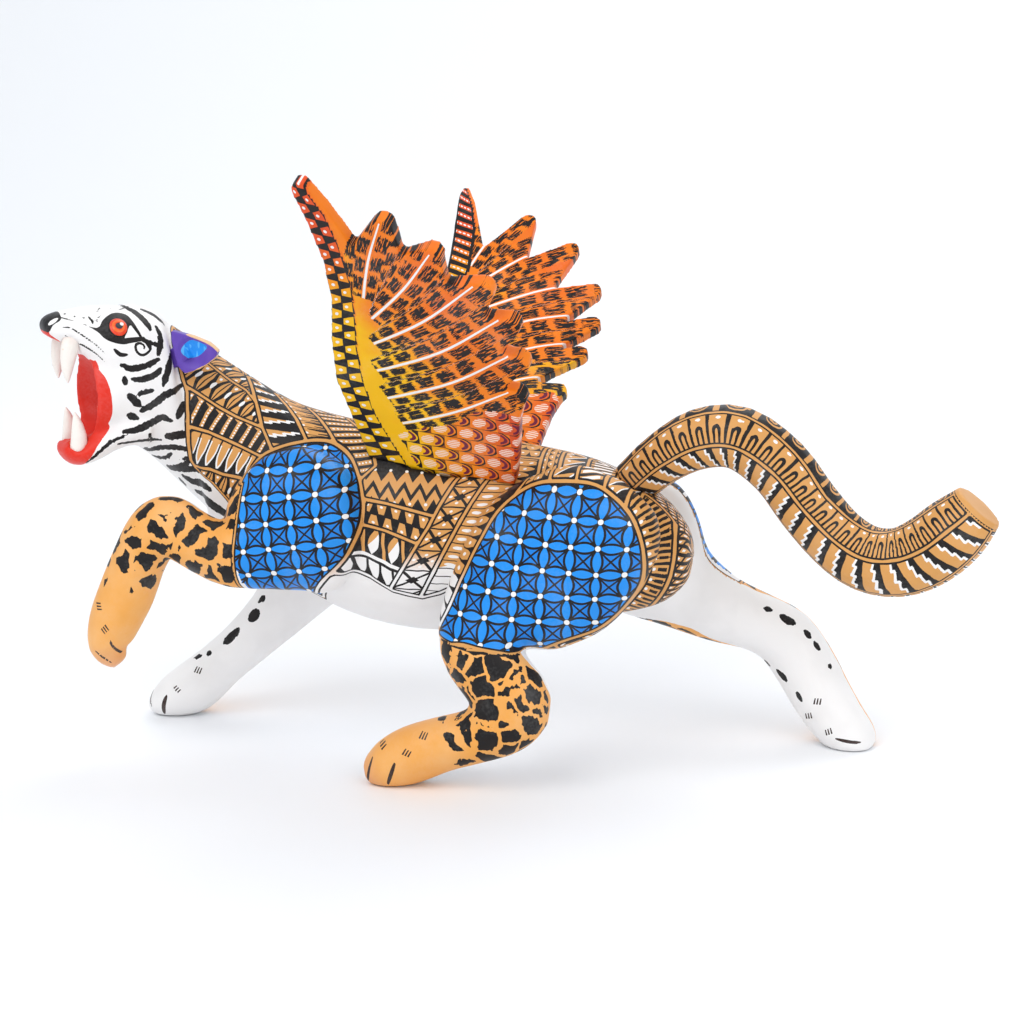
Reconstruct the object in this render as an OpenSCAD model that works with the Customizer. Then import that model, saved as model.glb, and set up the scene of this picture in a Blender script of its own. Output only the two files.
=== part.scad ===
// Winged cat figure in carved wood, built from blocks, pegs and tenons.
// It faces -X, its left side is -Y, and it stands on three paws at z = 0.

/* [Shift to the reference point] */
// Move along X that puts the middle of the whole figure at x = 0
shift_x = -4; // [-20:0.5:20]
// Move along Y that puts the middle of the whole figure at y = 0
shift_y = -9; // [-20:0.5:20]

/* [Head] */
// Turn of the head towards the left side, in degrees
head_yaw = 40; // [25:1:45]
// Length of a fang from its socket floor to its tip
fang_len = 18; // [14:0.5:20]

/* [Wings] */
// Thickness of a wing
wing_t = 5.5; // [4:0.5:8]
// Lean of the left wing away from upright, in degrees
splay_left = 34; // [30:1:46]
// Lean of the right wing away from upright, in degrees
splay_right = 44; // [30:1:46]
// Turn of each wing outwards towards its rear edge, in degrees
wing_flare = 8; // [0:1:12]
// Width of a wing's tenon
wing_tenon_w = 24; // [16:1:30]
// Thickness of a wing's tenon
wing_tenon_t = 4; // [3:0.5:5]

/* [Tail] */
// Distance across the flats of the tail's whittled peg
tail_peg_d = 9; // [7:0.5:11]
// Length of the tail's peg inside the rump
tail_peg_len = 16; // [10:1:20]

/* [Ears] */
// Thickness of an ear
ear_t = 4.5; // [3.5:0.5:6]
// Length of an ear's tenon inside the head
ear_tenon_len = 7; // [5:0.5:9]

/* [Fits] */
// Gap on each side of a piece that pulls out
pull_gap = 0.15; // [0.1:0.05:0.3]
// Gap between a seated piece and the surface under it
seat_gap = 0.3; // [0.3:0.1:0.6]
// Diameter of a shoulder, hip or neck dowel
dowel_d = 8; // [6:1:10]
// Gap around a glued dowel
glue_gap = 0.05; // [0.05:0.05:0.1]

/* [Hidden] */

steps = 3;          // rings made between two named sections
body_sides = 28;    // points around the torso and the head
limb_sides = 20;    // points around a leg or the tail
dowel_len = 26;     // length of a shoulder or hip dowel
neck_dowel_len = 36;

// Sections are [x, y, z, half width, half height, lean of the plane in degrees].
torso_sections = [
    [71, 0, 82, 2, 2, 0],
    [69, 0, 82, 10, 10, 0],
    [61, 0, 83, 19, 19, 0],
    [48, 0, 85, 26, 25.5, 0],
    [30, 0, 87, 30, 30.5, 0],
    [4, 0, 88, 30, 34, 0],
    [-26, 0, 85.5, 30, 38.5, 0],
    [-54, 0, 88, 30, 38.5, 4],
    [-78, -1, 95, 28, 35.5, 8],
    [-97, -2, 103.5, 25, 32.5, 11],
    [-114, -3, 113.5, 23, 32.5, 9]];
neck_at = [-131, -5, 127.5];
neck_half = [21.5, 39];
neck_yaw = 20;
neck_lean = -12;

// The head's own frame has its origin here, and faces -X before it is turned.
head_at = [-126, -4, 128];
skull_sections = [
    [-17, 0, 12, 21.5, 30, 0],
    [-25, 0, 17, 21, 28, 0],
    [-33, 0, 19, 19.5, 25, 0],
    [-40, 0, 13, 17, 17, 0],
    [-46, 0, 11.5, 15.5, 17, 0]];
muzzle_sections = [
    [-26, 0, 24, 20.5, 20.5, 0],
    [-37, 0, 28.5, 18, 17, 0],
    [-45, 0, 33.5, 14, 12, 0],
    [-52, 0, 36.5, 11, 8, 0],
    [-58, 0, 38, 8.5, 5.5, 0],
    [-62, 0, 38.5, 5, 3, 0]];
jaw_sections = [
    [-25, 0, -1, 19, 10, 0],
    [-32, 0, -2, 17.5, 8, -25],
    [-39, 0, -5, 15, 6.5, -30],
    [-46, 0, -9, 13.5, 6, -20],
    [-52, 0, -10.5, 11.5, 5, 10],
    [-56, 0, -7.5, 7.5, 3, 35]];
mouth_sections = [
    [-35, 0, 8, 3, 4, 0],
    [-38, 0, 9, 10, 10, 0],
    [-44, 0, 11, 14, 15, 0],
    [-50, 0, 13, 12.5, 18.5, 0],
    [-57, 0, 14, 9.5, 20.5, 0],
    [-70, 0, 16, 9.5, 22, 0]];

// Leg sections run from the body to the paw.
foreleg_left_sections = [
    [-53, -24, 98, 4, 10, 0],
    [-58, -26, 97, 13, 20, 0],
    [-69, -27, 94.5, 17.5, 28.5, 0],
    [-81, -29, 91, 17.5, 28, 0],
    [-92, -33, 85, 15, 21, 0],
    [-102, -38, 81, 12.5, 13, 0],
    [-113, -42, 86, 12, 11, 0],
    [-123.5, -43, 92, 12, 11.5, 0],
    [-130, -43, 89, 12, 11, 0],
    [-136.5, -43, 78, 11.5, 10.5, 0],
    [-142, -43, 65, 11, 11, 0],
    [-148, -43, 52, 10.5, 10, 0],
    [-150.5, -43, 42, 9, 7.5, 0],
    [-146, -43, 36, 5, 3.5, 0]];
foreleg_right_sections = [
    [-48, 22, 98, 4, 10, 0],
    [-54, 24, 94, 13, 20, 0],
    [-66, 26, 88, 17.5, 26, 0],
    [-80, 28, 78, 17, 25, 0],
    [-92, 28, 62, 14.5, 19, 0],
    [-103, 24, 46, 11.5, 13, 0],
    [-116, 19, 32, 10.5, 10.5, 0],
    [-128, 16, 21, 10, 10, 0],
    [-138, 14, 12, 11, 11, 0],
    [-147, 13, 7, 12, 9.5, 0],
    [-154, 13, 4, 10, 6, 0],
    [-157, 13, 3, 6, 3, 0]];
hindleg_left_sections = [
    [54, -20, 108, 4, 9, 0],
    [49, -23, 103, 13, 21, 0],
    [37, -26, 94, 18, 29, 0],
    [23, -28, 83, 19, 32, 0],
    [11, -32, 72, 18, 28, 0],
    [2, -37, 62, 16, 20.5, 0],
    [0, -43, 52, 14.5, 16, 0],
    [7, -47, 42, 13, 14, 0],
    [14, -49, 33.5, 12, 14.5, 0],
    [10, -50, 26, 11.5, 12.5, 0],
    [-1, -50, 20, 11, 10.5, 0],
    [-13, -50, 16, 11, 10.5, 0],
    [-25, -50, 11, 12, 11, 0],
    [-35, -50, 6, 12, 9.5, 0],
    [-42, -50, 3, 8, 5.5, 0]];
hindleg_right_sections = [
    [26, 20, 100, 4, 9, 0],
    [30, 23, 95, 13, 21, 0],
    [38, 26, 85, 18, 29, 0],
    [49, 29, 72, 18, 26, 0],
    [61, 33, 61.5, 15.5, 18, 0],
    [76, 36, 53, 13, 14, 0],
    [90, 38, 48, 11.5, 12, 0],
    [101, 39, 42, 11.5, 12.5, 0],
    [109, 40, 31, 12, 12.5, 0],
    [116, 40, 19, 12.5, 12, 0],
    [123, 40, 9, 12.5, 11, 0],
    [130, 40, 1, 11.5, 9.5, 0],
    [134, 40, -3, 8, 6, 0]];
tail_sections = [
    [40, 0, 101, 8.5, 8.5, 0],
    [48, 0, 109, 9, 9, 0],
    [59, 0, 119, 10, 10, 0],
    [73, 0, 127, 11.5, 11.5, 0],
    [88, 0, 128, 12, 12, 0],
    [103, 0, 118, 12, 12, 0],
    [114, 0, 104, 12, 12, 0],
    [125, 0, 92, 12, 12, 0],
    [136, 0, 85, 12.5, 12.5, 0],
    [148, 0, 84, 13, 13, 0],
    [159, 0, 89, 13.5, 13.5, 0],
    [169, 0, 98, 13.5, 13, 0],
    [177, 0, 107, 11, 10, 0]];
tail_root = [50, 0, 110];
tail_lean = 45;      // lean of the peg from upright, towards the rear

// Places of the glued dowels along Y, left then right, at the middle of their length
shoulder_dowel_at = [[-74, -25, 95], [-74, 25, 84]];
hip_dowel_at = [[28, -26, 86], [42, 26, 82]];

// A wing's own frame has u to the rear, w up along the wing, and its origin in the slot.
wing_at = [0, 13, 102];
wing_tenon_u = -24;                    // middle of the tenon
wing_root = [[-49, 4], [-50, 20]];
wing_lead_left = [[-50.5, 34], [-52, 60], [-48, 80], [-42, 100], [-40, 118], [-41, 134],
    [-43, 149], [-41, 152], [-38, 152], [-32.5, 141], [-26.5, 124.5]];
wing_lead_right = [[-50, 34], [-50, 60], [-45, 80], [-39.5, 100], [-38.5, 118], [-38, 144],
    [-36.5, 148], [-34, 148], [-31, 141], [-25, 116]];
// Feathers are [tip u, tip w, heading of the feather in degrees].
feathers_left = [[-11, 137, 66], [5.5, 124, 46], [22, 109, 36], [28.5, 93, 30], [28, 75, 26],
    [23, 58, 24]];
feathers_right = [[-6, 134, 66], [14, 118.5, 46], [25, 97, 36], [26, 80, 30], [22, 65, 24],
    [15, 46, 16]];
// Half width of a feather near its tip, and depth of the notch between two feathers
feather_shape_left = [4.2, 11];
feather_shape_right = [3.1, 19];
wing_heel_left = [[18, 45], [13, 26], [8, 10], [6, 4]];
wing_heel_right = [[10, 35], [6, 20], [4, 10], [3, 4]];

// An ear's own frame has its length along +X and its height along +Z.
ear_at = [-12, 18.5, 28];
ear_out = 32;                          // turn of the ear away from the head
ear_outline = [[-4, 8.5], [4, 6.5], [10.5, 4], [14, 1], [13, -2], [7, -6], [1, -8],
    [-2, -5], [-3, 0], [-4, 5]];
ear_cup_r = 12;                        // radius of the hollow of the ear
ear_cup_depth = 1.8;
ear_pull_tilt = 60;                    // lean of the ear's tenon from upright
ear_pull_turn = 59;                    // turn of the ear's tenon away from the rear
ear_tenon = [7, 3];                    // height and thickness of the ear's tenon

// Fangs are [x, y, z, lean] of the socket floor in the head's frame, on the right side.
upper_fang_at = [-52, 7, 35, 9];
lower_fang_at = [-51, 6.5, -12, 2];
// Fang sections are [part of the length, bow to the front, half width, half depth].
fang_sections = [[0, 0, 3.4, 2.8], [0.25, 0.4, 3.5, 2.8], [0.5, 0.6, 3.0, 2.5],
    [0.72, 0.4, 2.2, 1.9], [0.88, 0, 1.3, 1.2], [1, -0.5, 0.3, 0.3]];
fang_sides = 16;

wood = "tan";
azure = "dodgerblue";

// ---- sections, rings and forms ----

function unit(v) = v / norm(v);

function spline(a, b, c, d, t) =
    0.5 * (2 * b + (c - a) * t + (2 * a - 5 * b + 4 * c - d) * t * t
        + (3 * b - a - 3 * c + d) * t * t * t);

// All sections with the ones in between, from the ones that are named
function refine(s, k) = [
    for (i = [0:len(s) - 2], j = [0:k - 1])
        spline(s[max(i - 1, 0)], s[i], s[i + 1], s[min(i + 2, len(s) - 1)], j / k),
    s[len(s) - 1]];

function place(s) = [s[0], s[1], s[2]];

// A ring of n points around c, across the heading f, with half sizes half
function ring(c, f, half, n) =
    let (side = unit([0, 1, 0] - f[1] * f), up = cross(f, side))
    [for (i = [0:n - 1]) c + half[0] * cos(360 * i / n) * side + half[1] * sin(360 * i / n) * up];

// A ring whose plane has a stated lean and a stated turn
function set_ring(c, lean, yaw, half, n) =
    let (side = [-sin(yaw), cos(yaw), 0],
        f = [-cos(yaw) * cos(lean), -sin(yaw) * cos(lean), sin(lean)],
        up = cross(side, f))
    [for (i = [0:n - 1]) c + half[0] * cos(360 * i / n) * side + half[1] * sin(360 * i / n) * up];

function heading(s, i) = unit(place(s[min(i + 1, len(s) - 1)]) - place(s[max(i - 1, 0)]));

// Rings square to the path, grown outwards by grow
function path_rings(s, n, grow) = [
    for (i = [0:len(s) - 1])
        ring(place(s[i]), heading(s, i), [s[i][3] + grow, s[i][4] + grow], n)];

// Rings that face -X with their own lean
function lean_rings(s, n, grow) = [
    for (i = [0:len(s) - 1])
        set_ring(place(s[i]), s[i][5], 0, [s[i][3] + grow, s[i][4] + grow], n)];

function neck_ring(grow) =
    set_ring(neck_at, neck_lean, neck_yaw, neck_half + [grow, grow], body_sides);

// Skin over rings of n points each
module skin(rings, n) {
    last = len(rings) - 1;
    walls = [for (r = [0:last - 1], i = [0:n - 1], half = [0, 1])
        let (a = r * n + i, b = r * n + (i + 1) % n, c = a + n, d = b + n)
        half == 0 ? [a, b, d] : [a, d, c]];
    start = [for (i = [0:n - 1]) n - 1 - i];
    end = [for (i = [0:n - 1]) last * n + i];
    polyhedron(points = [for (r = rings) each r], faces = concat([start], walls, [end]));
}

// Solid that joins each ring to the next
module chain(rings) {
    for (i = [0:len(rings) - 2])
        hull() polyhedron(points = concat(rings[i], rings[i + 1]),
            faces = [[for (k = [0:len(rings[i]) + len(rings[i + 1]) - 1]) k]]);
}

module limb(sections, grow = 0) {
    chain(path_rings(refine(sections, steps), limb_sides, grow));
}

module torso_form(grow = 0) {
    skin(concat(lean_rings(refine(torso_sections, steps), body_sides, grow),
        [neck_ring(grow)]), body_sides);
}

module in_head() {
    translate(head_at) rotate([0, 0, head_yaw]) children();
}

function head_to_figure(p) =
    head_at + [p[0] * cos(head_yaw) - p[1] * sin(head_yaw),
        p[0] * sin(head_yaw) + p[1] * cos(head_yaw), p[2]];

module head_form(grow = 0) {
    first = lean_rings([skull_sections[0]], body_sides, grow)[0];
    chain([neck_ring(grow), [for (p = first) head_to_figure(p)]]);
    in_head() {
        chain(lean_rings(refine(skull_sections, steps), body_sides, grow));
        chain(lean_rings(refine(muzzle_sections, steps), body_sides, grow));
        chain(lean_rings(refine(jaw_sections, steps), body_sides, grow));
    }
}

// ---- pegs and sockets ----

module dowel(len, gap = 0) {
    cylinder(d = dowel_d + 2 * gap, h = len + 2 * gap, center = true, $fn = 48);
}

module across(at, gap = 0) {
    translate(at) rotate([90, 0, 0]) dowel(dowel_len, gap);
}

module neck_peg(gap = 0) {
    translate(neck_at) rotate([0, 0, neck_yaw]) rotate([0, -90 + neck_lean, 0])
        dowel(neck_dowel_len, gap);
}

// Frame of a wing: side is -1 on the left and 1 on the right
module in_wing(side, splay) {
    translate([wing_at[0], side * wing_at[1], wing_at[2]])
        rotate([0, 0, side * wing_flare]) rotate([-side * splay, 0, 0]) children();
}

module wing_tenon(gap) {
    translate([wing_tenon_u, 0, 8])
        cube([wing_tenon_w + 2 * gap, wing_tenon_t + 2 * gap, 26], center = true);
}

module in_tail() {
    translate(tail_root) rotate([0, tail_lean, 0]) children();
}

module tail_peg(gap) {
    in_tail() translate([0, 0, -tail_peg_len - gap]) rotate([0, 0, 22.5])
        cylinder(d = (tail_peg_d + 2 * gap) / cos(22.5), h = tail_peg_len + 6 + gap, $fn = 8);
}

module below_floor() {
    translate([-300, -300, -100]) cube([600, 600, 100]);
}

// ---- the pieces ----

module torso() {
    color(wood) difference() {
        torso_form();
        for (at = shoulder_dowel_at) across(at, glue_gap);
        for (at = hip_dowel_at) across(at, glue_gap);
        neck_peg(glue_gap);
        in_wing(-1, splay_left) wing_tenon(pull_gap);
        in_wing(1, splay_right) wing_tenon(pull_gap);
        tail_peg(pull_gap);
    }
}

module head() {
    color("white") difference() {
        head_form();
        torso_form();
        in_head() chain(lean_rings(refine(mouth_sections, steps), body_sides, 0));
        for (side = [-1, 1]) {
            upper_fang(side);
            lower_fang(side);
            ear_peg(side, pull_gap);
        }
        neck_peg(glue_gap);
    }
}

// A leg is coped to the torso, drilled for its dowel and cut flat at the floor.
module leg(sections, dowel_at) {
    difference() {
        limb(sections);
        torso_form();
        below_floor();
        across(dowel_at, glue_gap);
    }
}

module foreleg_left() {
    color(azure) leg(foreleg_left_sections, shoulder_dowel_at[0]);
}

module foreleg_right() {
    color(azure) leg(foreleg_right_sections, shoulder_dowel_at[1]);
}

module hindleg_left() {
    color(azure) leg(hindleg_left_sections, hip_dowel_at[0]);
}

module hindleg_right() {
    color(azure) leg(hindleg_right_sections, hip_dowel_at[1]);
}

module tail() {
    color(wood) {
        difference() {
            limb(tail_sections);
            torso_form(seat_gap);
        }
        tail_peg(0);
    }
}

// Rounded end of a feather, from its upper side to its lower side
function feather_end(f, half) =
    let (c = [f[0], f[1]] - half * [cos(f[2]), sin(f[2])])
    [for (a = [80:-40:-80]) c + half * [cos(f[2] + a), sin(f[2] + a)]];

function notch(f, g, depth) =
    let (a = (f[2] + g[2]) / 2)
    [(f[0] + g[0]) / 2 - depth * cos(a), (f[1] + g[1]) / 2 - depth * sin(a)];

function wing_outline(lead, feathers, shape, heel) = concat(wing_root, lead,
    [for (i = [0:len(feathers) - 1]) each concat(feather_end(feathers[i], shape[0]),
        i < len(feathers) - 1 ? [notch(feathers[i], feathers[i + 1], shape[1])] : [])],
    heel);

module wing(side, splay, outline) {
    color("orange") {
        difference() {
            in_wing(side, splay) rotate([90, 0, 0])
                linear_extrude(height = wing_t, center = true) polygon(outline);
            torso_form(seat_gap);
        }
        in_wing(side, splay) wing_tenon(0);
    }
}

module wing_left() {
    wing(-1, splay_left, wing_outline(wing_lead_left, feathers_left, feather_shape_left,
        wing_heel_left));
}

module wing_right() {
    wing(1, splay_right, wing_outline(wing_lead_right, feathers_right, feather_shape_right,
        wing_heel_right));
}

// The left and right ears differ only in side, which is -1 or 1.
module at_ear(side) {
    in_head() translate([ear_at[0], side * ear_at[1], ear_at[2]]) children();
}

module ear_peg(side, gap) {
    at_ear(side) rotate([0, 0, side * ear_pull_turn]) rotate([0, ear_pull_tilt, 0])
        translate([0, 0, (3 - ear_tenon_len - gap) / 2])
            cube([ear_tenon[0] + 2 * gap, ear_tenon[1] + 2 * gap, ear_tenon_len + 3 + gap],
                center = true);
}

module ear(side) {
    color("indigo") {
        difference() {
            at_ear(side) rotate([0, 0, side * ear_out]) difference() {
                rotate([90, 0, 0]) linear_extrude(height = ear_t, center = true)
                    polygon(ear_outline);
                translate([4, side * (ear_t / 2 + ear_cup_r - ear_cup_depth), 0])
                    sphere(r = ear_cup_r, $fn = 64);
            }
            head_form(seat_gap);
            torso_form(seat_gap);
        }
        ear_peg(side, 0);
    }
}

module ear_left() {
    ear(-1);
}

module ear_right() {
    ear(1);
}

// A fang from its socket floor: turn is 180 for one that points down
module fang(at, side, turn, lean) {
    color("ivory") in_head() translate([at[0], side * at[1], at[2]])
        rotate([0, turn + lean, 0])
            chain([for (s = fang_sections) [for (i = [0:fang_sides - 1])
                [s[1] + s[2] * cos(360 * i / fang_sides),
                    s[3] * sin(360 * i / fang_sides), s[0] * fang_len]]]);
}

module upper_fang(side) {
    fang(upper_fang_at, side, 180, upper_fang_at[3]);
}

module lower_fang(side) {
    fang(lower_fang_at, side, 0, -lower_fang_at[3]);
}

module upper_fang_left() {
    upper_fang(-1);
}

module upper_fang_right() {
    upper_fang(1);
}

module lower_fang_left() {
    lower_fang(-1);
}

module lower_fang_right() {
    lower_fang(1);
}

module neck_dowel() {
    color(wood) neck_peg();
}

module shoulder_dowel_left() {
    color(wood) across(shoulder_dowel_at[0]);
}

module shoulder_dowel_right() {
    color(wood) across(shoulder_dowel_at[1]);
}

module hip_dowel_left() {
    color(wood) across(hip_dowel_at[0]);
}

module hip_dowel_right() {
    color(wood) across(hip_dowel_at[1]);
}

// Everything is drawn moved to the reference point.
module shown() {
    translate([shift_x, shift_y, 0]) children();
}

shown() torso();
shown() head();
shown() foreleg_left();
shown() foreleg_right();
shown() hindleg_left();
shown() hindleg_right();
shown() tail();
shown() wing_left();
shown() wing_right();
shown() ear_left();
shown() ear_right();
shown() upper_fang_left();
shown() upper_fang_right();
shown() lower_fang_left();
shown() lower_fang_right();
shown() neck_dowel();
shown() shoulder_dowel_left();
shown() shoulder_dowel_right();
shown() hip_dowel_left();
shown() hip_dowel_right();
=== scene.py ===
import math

import bmesh
import bpy
import numpy as np
from mathutils.bvhtree import BVHTree
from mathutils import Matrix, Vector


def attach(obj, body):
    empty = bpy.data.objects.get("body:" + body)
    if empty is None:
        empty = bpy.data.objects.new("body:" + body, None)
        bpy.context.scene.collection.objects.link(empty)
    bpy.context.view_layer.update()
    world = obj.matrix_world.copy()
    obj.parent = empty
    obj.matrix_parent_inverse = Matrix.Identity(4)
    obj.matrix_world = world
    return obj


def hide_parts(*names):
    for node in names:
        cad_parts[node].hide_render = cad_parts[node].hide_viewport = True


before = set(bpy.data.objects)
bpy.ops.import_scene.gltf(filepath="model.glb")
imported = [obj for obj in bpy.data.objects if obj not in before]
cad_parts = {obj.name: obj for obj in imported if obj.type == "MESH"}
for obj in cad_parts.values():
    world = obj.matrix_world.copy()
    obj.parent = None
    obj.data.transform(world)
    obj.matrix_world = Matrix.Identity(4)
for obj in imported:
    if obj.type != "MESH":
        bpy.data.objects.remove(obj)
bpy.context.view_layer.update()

MM = 0.001
CENTRE = np.array([-4.0, -9.0, 0.0])     # where the carving's own origin lies in the frame, mm
BODY_NODES = ["torso", "head", "foreleg_left", "foreleg_right", "hindleg_left", "hindleg_right"]
DOWELS = ["neck_dowel", "shoulder_dowel_left", "shoulder_dowel_right", "hip_dowel_left",
          "hip_dowel_right"]


# ---- colours ----

def colour(code):
    """Linear colour of a hex code."""
    parts = [int(code[i:i + 2], 16) / 255 for i in (0, 2, 4)]
    return tuple(c / 12.92 if c < 0.04045 else ((c + 0.055) / 1.055) ** 2.4 for c in parts) + (1,)


BLACK = colour("171415")
TAN = colour("D79C58")
TAN_LIGHT = colour("E6B987")
OCHRE = colour("EDA650")
OCHRE_PALE = colour("F2BE82")
WHITE = colour("F1EFEE")
IVORY = colour("F3EDE6")
BLUE = colour("177FDC")
BLUE_LIGHT = colour("1F8FEA")
PURPLE = colour("5B3FA6")
RED = colour("E0301F")
RED_PAINTED_SHADE = colour("B81F22")
YELLOW = colour("F6BC02")
ORANGE = colour("F07F12")
VERMILION = colour("E2501C")
# Darker red for the painted shade deep inside the mouth.
PLUM = colour("6B1A38")
# Pink of the painted shade at the roots of the fangs.
PINK_PAINTED_SHADE = colour("E9A79B")
BROWN = colour("3A2A26")
DUST = colour("5A4638")


# ---- numbers that vary over a surface ----

def feed(slot, item):
    """Links a socket or a Value to an input slot, or sets the slot to a number or a colour."""
    item = getattr(item, "socket", item)
    if isinstance(item, bpy.types.NodeSocket):
        slot.id_data.links.new(item, slot)
    else:
        slot.default_value = item


class Value:
    """A shader socket with arithmetic. A comparison gives 1 where it holds and 0 elsewhere."""

    def __init__(self, socket):
        self.socket = socket

    def math(self, operation, *inputs):
        node = self.socket.id_data.nodes.new("ShaderNodeMath")
        node.operation = operation
        for slot, item in zip(node.inputs, inputs):
            feed(slot, item)
        return Value(node.outputs[0])

    def __rsub__(self, other):
        return self.math("SUBTRACT", other, self)

    def positive(self):
        return self.math("MAXIMUM", self, 0.0)

    def root(self):
        return self.math("SQRT", self.positive())

    def between(self, low, high):
        return (self > low) & (self < high)


OPERATIONS = {"__add__": "ADD", "__radd__": "ADD", "__sub__": "SUBTRACT", "__mul__": "MULTIPLY",
              "__rmul__": "MULTIPLY", "__lt__": "LESS_THAN", "__gt__": "GREATER_THAN",
              "__and__": "MINIMUM", "__or__": "MAXIMUM", "__abs__": "ABSOLUTE",
              "floor": "FLOOR", "fract": "FRACT", "angle_to": "ARCTAN2"}
for word, operation in OPERATIONS.items():
    setattr(Value, word, lambda self, *other, does=operation: self.math(does, self, *other))


def cell(u):
    """Place in a unit cell, from -0.5 to 0.5."""
    return u.fract() - 0.5


def odd(u):
    """1 in every second cell."""
    return (u.floor() * 0.5).fract() > 0.25


def disc(x, y, radius):
    return (x * x + y * y) < radius * radius


def pick(mask, inside, outside):
    return (mask & inside) | ((1.0 - mask) & outside)


# ---- painted materials ----

class Paint:
    """One painted material: colours laid over each other by masks, then a brushed satin finish."""

    def __init__(self, name, ground):
        self.material = bpy.data.materials.new(name)
        self.material.use_nodes = True
        self.nodes = self.material.node_tree.nodes
        self.shader = self.nodes["Principled BSDF"]
        self.shader.inputs["Specular IOR Level"].default_value = 0.25
        self.place = self.add("TexCoord").outputs["Object"]
        self.top = ground
        self.relief = None

    def add(self, kind, settings=None, **inputs):
        """A new shader node with its settings made and its named inputs fed."""
        node = self.nodes.new("ShaderNode" + kind)
        for name, value in (settings or {}).items():
            setattr(node, name, value)
        for name, item in inputs.items():
            feed(node.inputs[name], item)
        return node

    def chart(self, name="chart"):
        """The three painted coordinates stored on the mesh."""
        source = self.add("Attribute", {"attribute_name": name})
        split = self.add("SeparateXYZ", Vector=source.outputs["Vector"])
        return [Value(s) for s in split.outputs]

    def noise(self, scale, detail=2.0, stretch=None, three=False):
        """Noise about 0, or three of them."""
        place = self.place
        if stretch:
            place = self.add("Mapping", Scale=stretch, Vector=place).outputs[0]
        node = self.add("TexNoise", Scale=scale, Detail=detail, Vector=place)
        if three:
            split = self.add("SeparateColor", Color=node.outputs["Color"])
            return [Value(s) - 0.5 for s in split.outputs]
        return Value(node.outputs[0]) - 0.5

    def lay(self, mask, tone):
        """Lays a colour where the mask is 1."""
        mix = self.add("Mix", {"data_type": "RGBA"})
        below, above = [s for s in mix.inputs if s.type == "RGBA"]
        feed(below, self.top)
        feed(above, tone)
        feed(mix.inputs[0], mask)
        self.top = [s for s in mix.outputs if s.type == "RGBA"][0]

    def raised(self, mask):
        """Lays white paint that stands proud, such as a dot from a brush handle."""
        self.lay(mask, WHITE)
        self.relief = mask if self.relief is None else self.relief | mask

    def border(self, rim, dark, thin, line=TAN):
        """Lays a thin line between two dark ones, by the distance from a region's edge."""
        self.lay(rim < dark, BLACK)
        self.lay(rim < thin, line)

    def done(self, rough=0.42, grain=1.0):
        """Adds uneven coats, handled edges, brush marks and a satin finish."""
        mottle, fine = self.noise(55, 3), self.noise(900, 2)
        self.lay((mottle * 0.28).positive(), DUST)
        self.lay((mottle * -0.2 + fine * 0.08).positive(), WHITE)
        edge = Value(self.add("NewGeometry").outputs["Pointiness"])
        worn = (edge + self.noise(300, 3) * 0.06) > 0.575
        self.lay(worn * 0.35, TAN_LIGHT)
        feed(self.shader.inputs["Base Color"], self.top)
        feed(self.shader.inputs["Roughness"], mottle * 0.18 + fine * 0.12 + rough)
        height = fine * 0.35 + self.noise(260, 2, (1, 1, 0.25)) * 0.65 * grain
        if self.relief is not None:
            height = height + self.relief * 1.1
        bump = self.add("Bump", Strength=0.35, Distance=0.00018, Height=height)
        feed(self.shader.inputs["Normal"], bump.outputs[0])
        return self.material


# ---- patterns ----
# u counts cells along a band, and v runs from 0 to 1 across it. Bare numbers are shares of a
# cell. Beside pitch and height, the cell's length and the band's width, they are millimetres.

def leaves(p, u, v, pitch, height):
    """Pairs of leaves between hourglasses with white drops."""
    c, y = cell(u), v - 0.5
    lens = (abs(c) < (0.24 - y * y) * 1.8) & (abs(c) > 0.07)
    glass = abs(c) < abs(y) * 1.3 - 0.04
    p.lay(pick(odd(u), lens, glass) & (abs(y) < 0.46), TAN)
    drops = disc(c * pitch, (y + 0.33) * height, 0.5) | disc(c * pitch, y * (height * 0.4), 0.62)
    p.raised(drops & (1.0 - odd(u)))


def hooks(p, u, v, pitch, height):
    """Hooked keys edged with a row of dots."""
    c = u.fract()
    hook = (c.between(0.5, 0.86) & v.between(0.1, 0.93)) | (
        v.between(0.1, 0.1 + c * 0.18) & c.between(0.08, 0.86))
    p.lay(hook, TAN)
    row = (v * (height / 1.15)).fract() - 0.5
    p.lay(disc((c - 0.73) * pitch, row * 1.15, 0.36) & v.between(0.14, 0.9), WHITE)


def hanging_petals(p, u, v, pitch, height):
    """White-edged petals that hang from the upper line."""
    c = cell(u)
    low = (v - 0.42).positive()
    half = 0.42 - low * low * 1.35
    p.lay((abs(c) < half) & (v < 0.94), WHITE)
    p.lay(abs(c) < half - 0.11 - low * 0.12, TAN)
    p.lay((abs(c) < 0.42) & (v < 0.2), TAN)


def stairs(p, u, v, pitch, height, lean, climb):
    """Stepped frets: tan from a plain edge to a stair with a white line along it."""
    steps, start, thick = 4.0, 0.62, 0.42
    t = (u + v * lean).fract()
    edge = start + v * lean - ((v * steps).floor() + 0.5) * (climb / steps)
    near_step = abs((v * steps + 0.5).fract() - 0.5) < thick * steps / height
    riser = abs(t - start - v * (lean - climb)) < abs(climb) / steps / 2 + thick / pitch
    p.lay((t > 0.07) & (t < edge), TAN)
    p.lay((abs(t - edge) < thick / pitch) | (near_step & riser), WHITE)


def frets(p, u, v, pitch, height):
    """Stepped wedges across the neck."""
    stairs(p, u, v, pitch, height, 0.08, 0.66)


def slanted_frets(p, u, v, pitch, height):
    """Stepped blocks that lean along the tail."""
    stairs(p, u, v, pitch, height, -0.55, -0.65)


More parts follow.
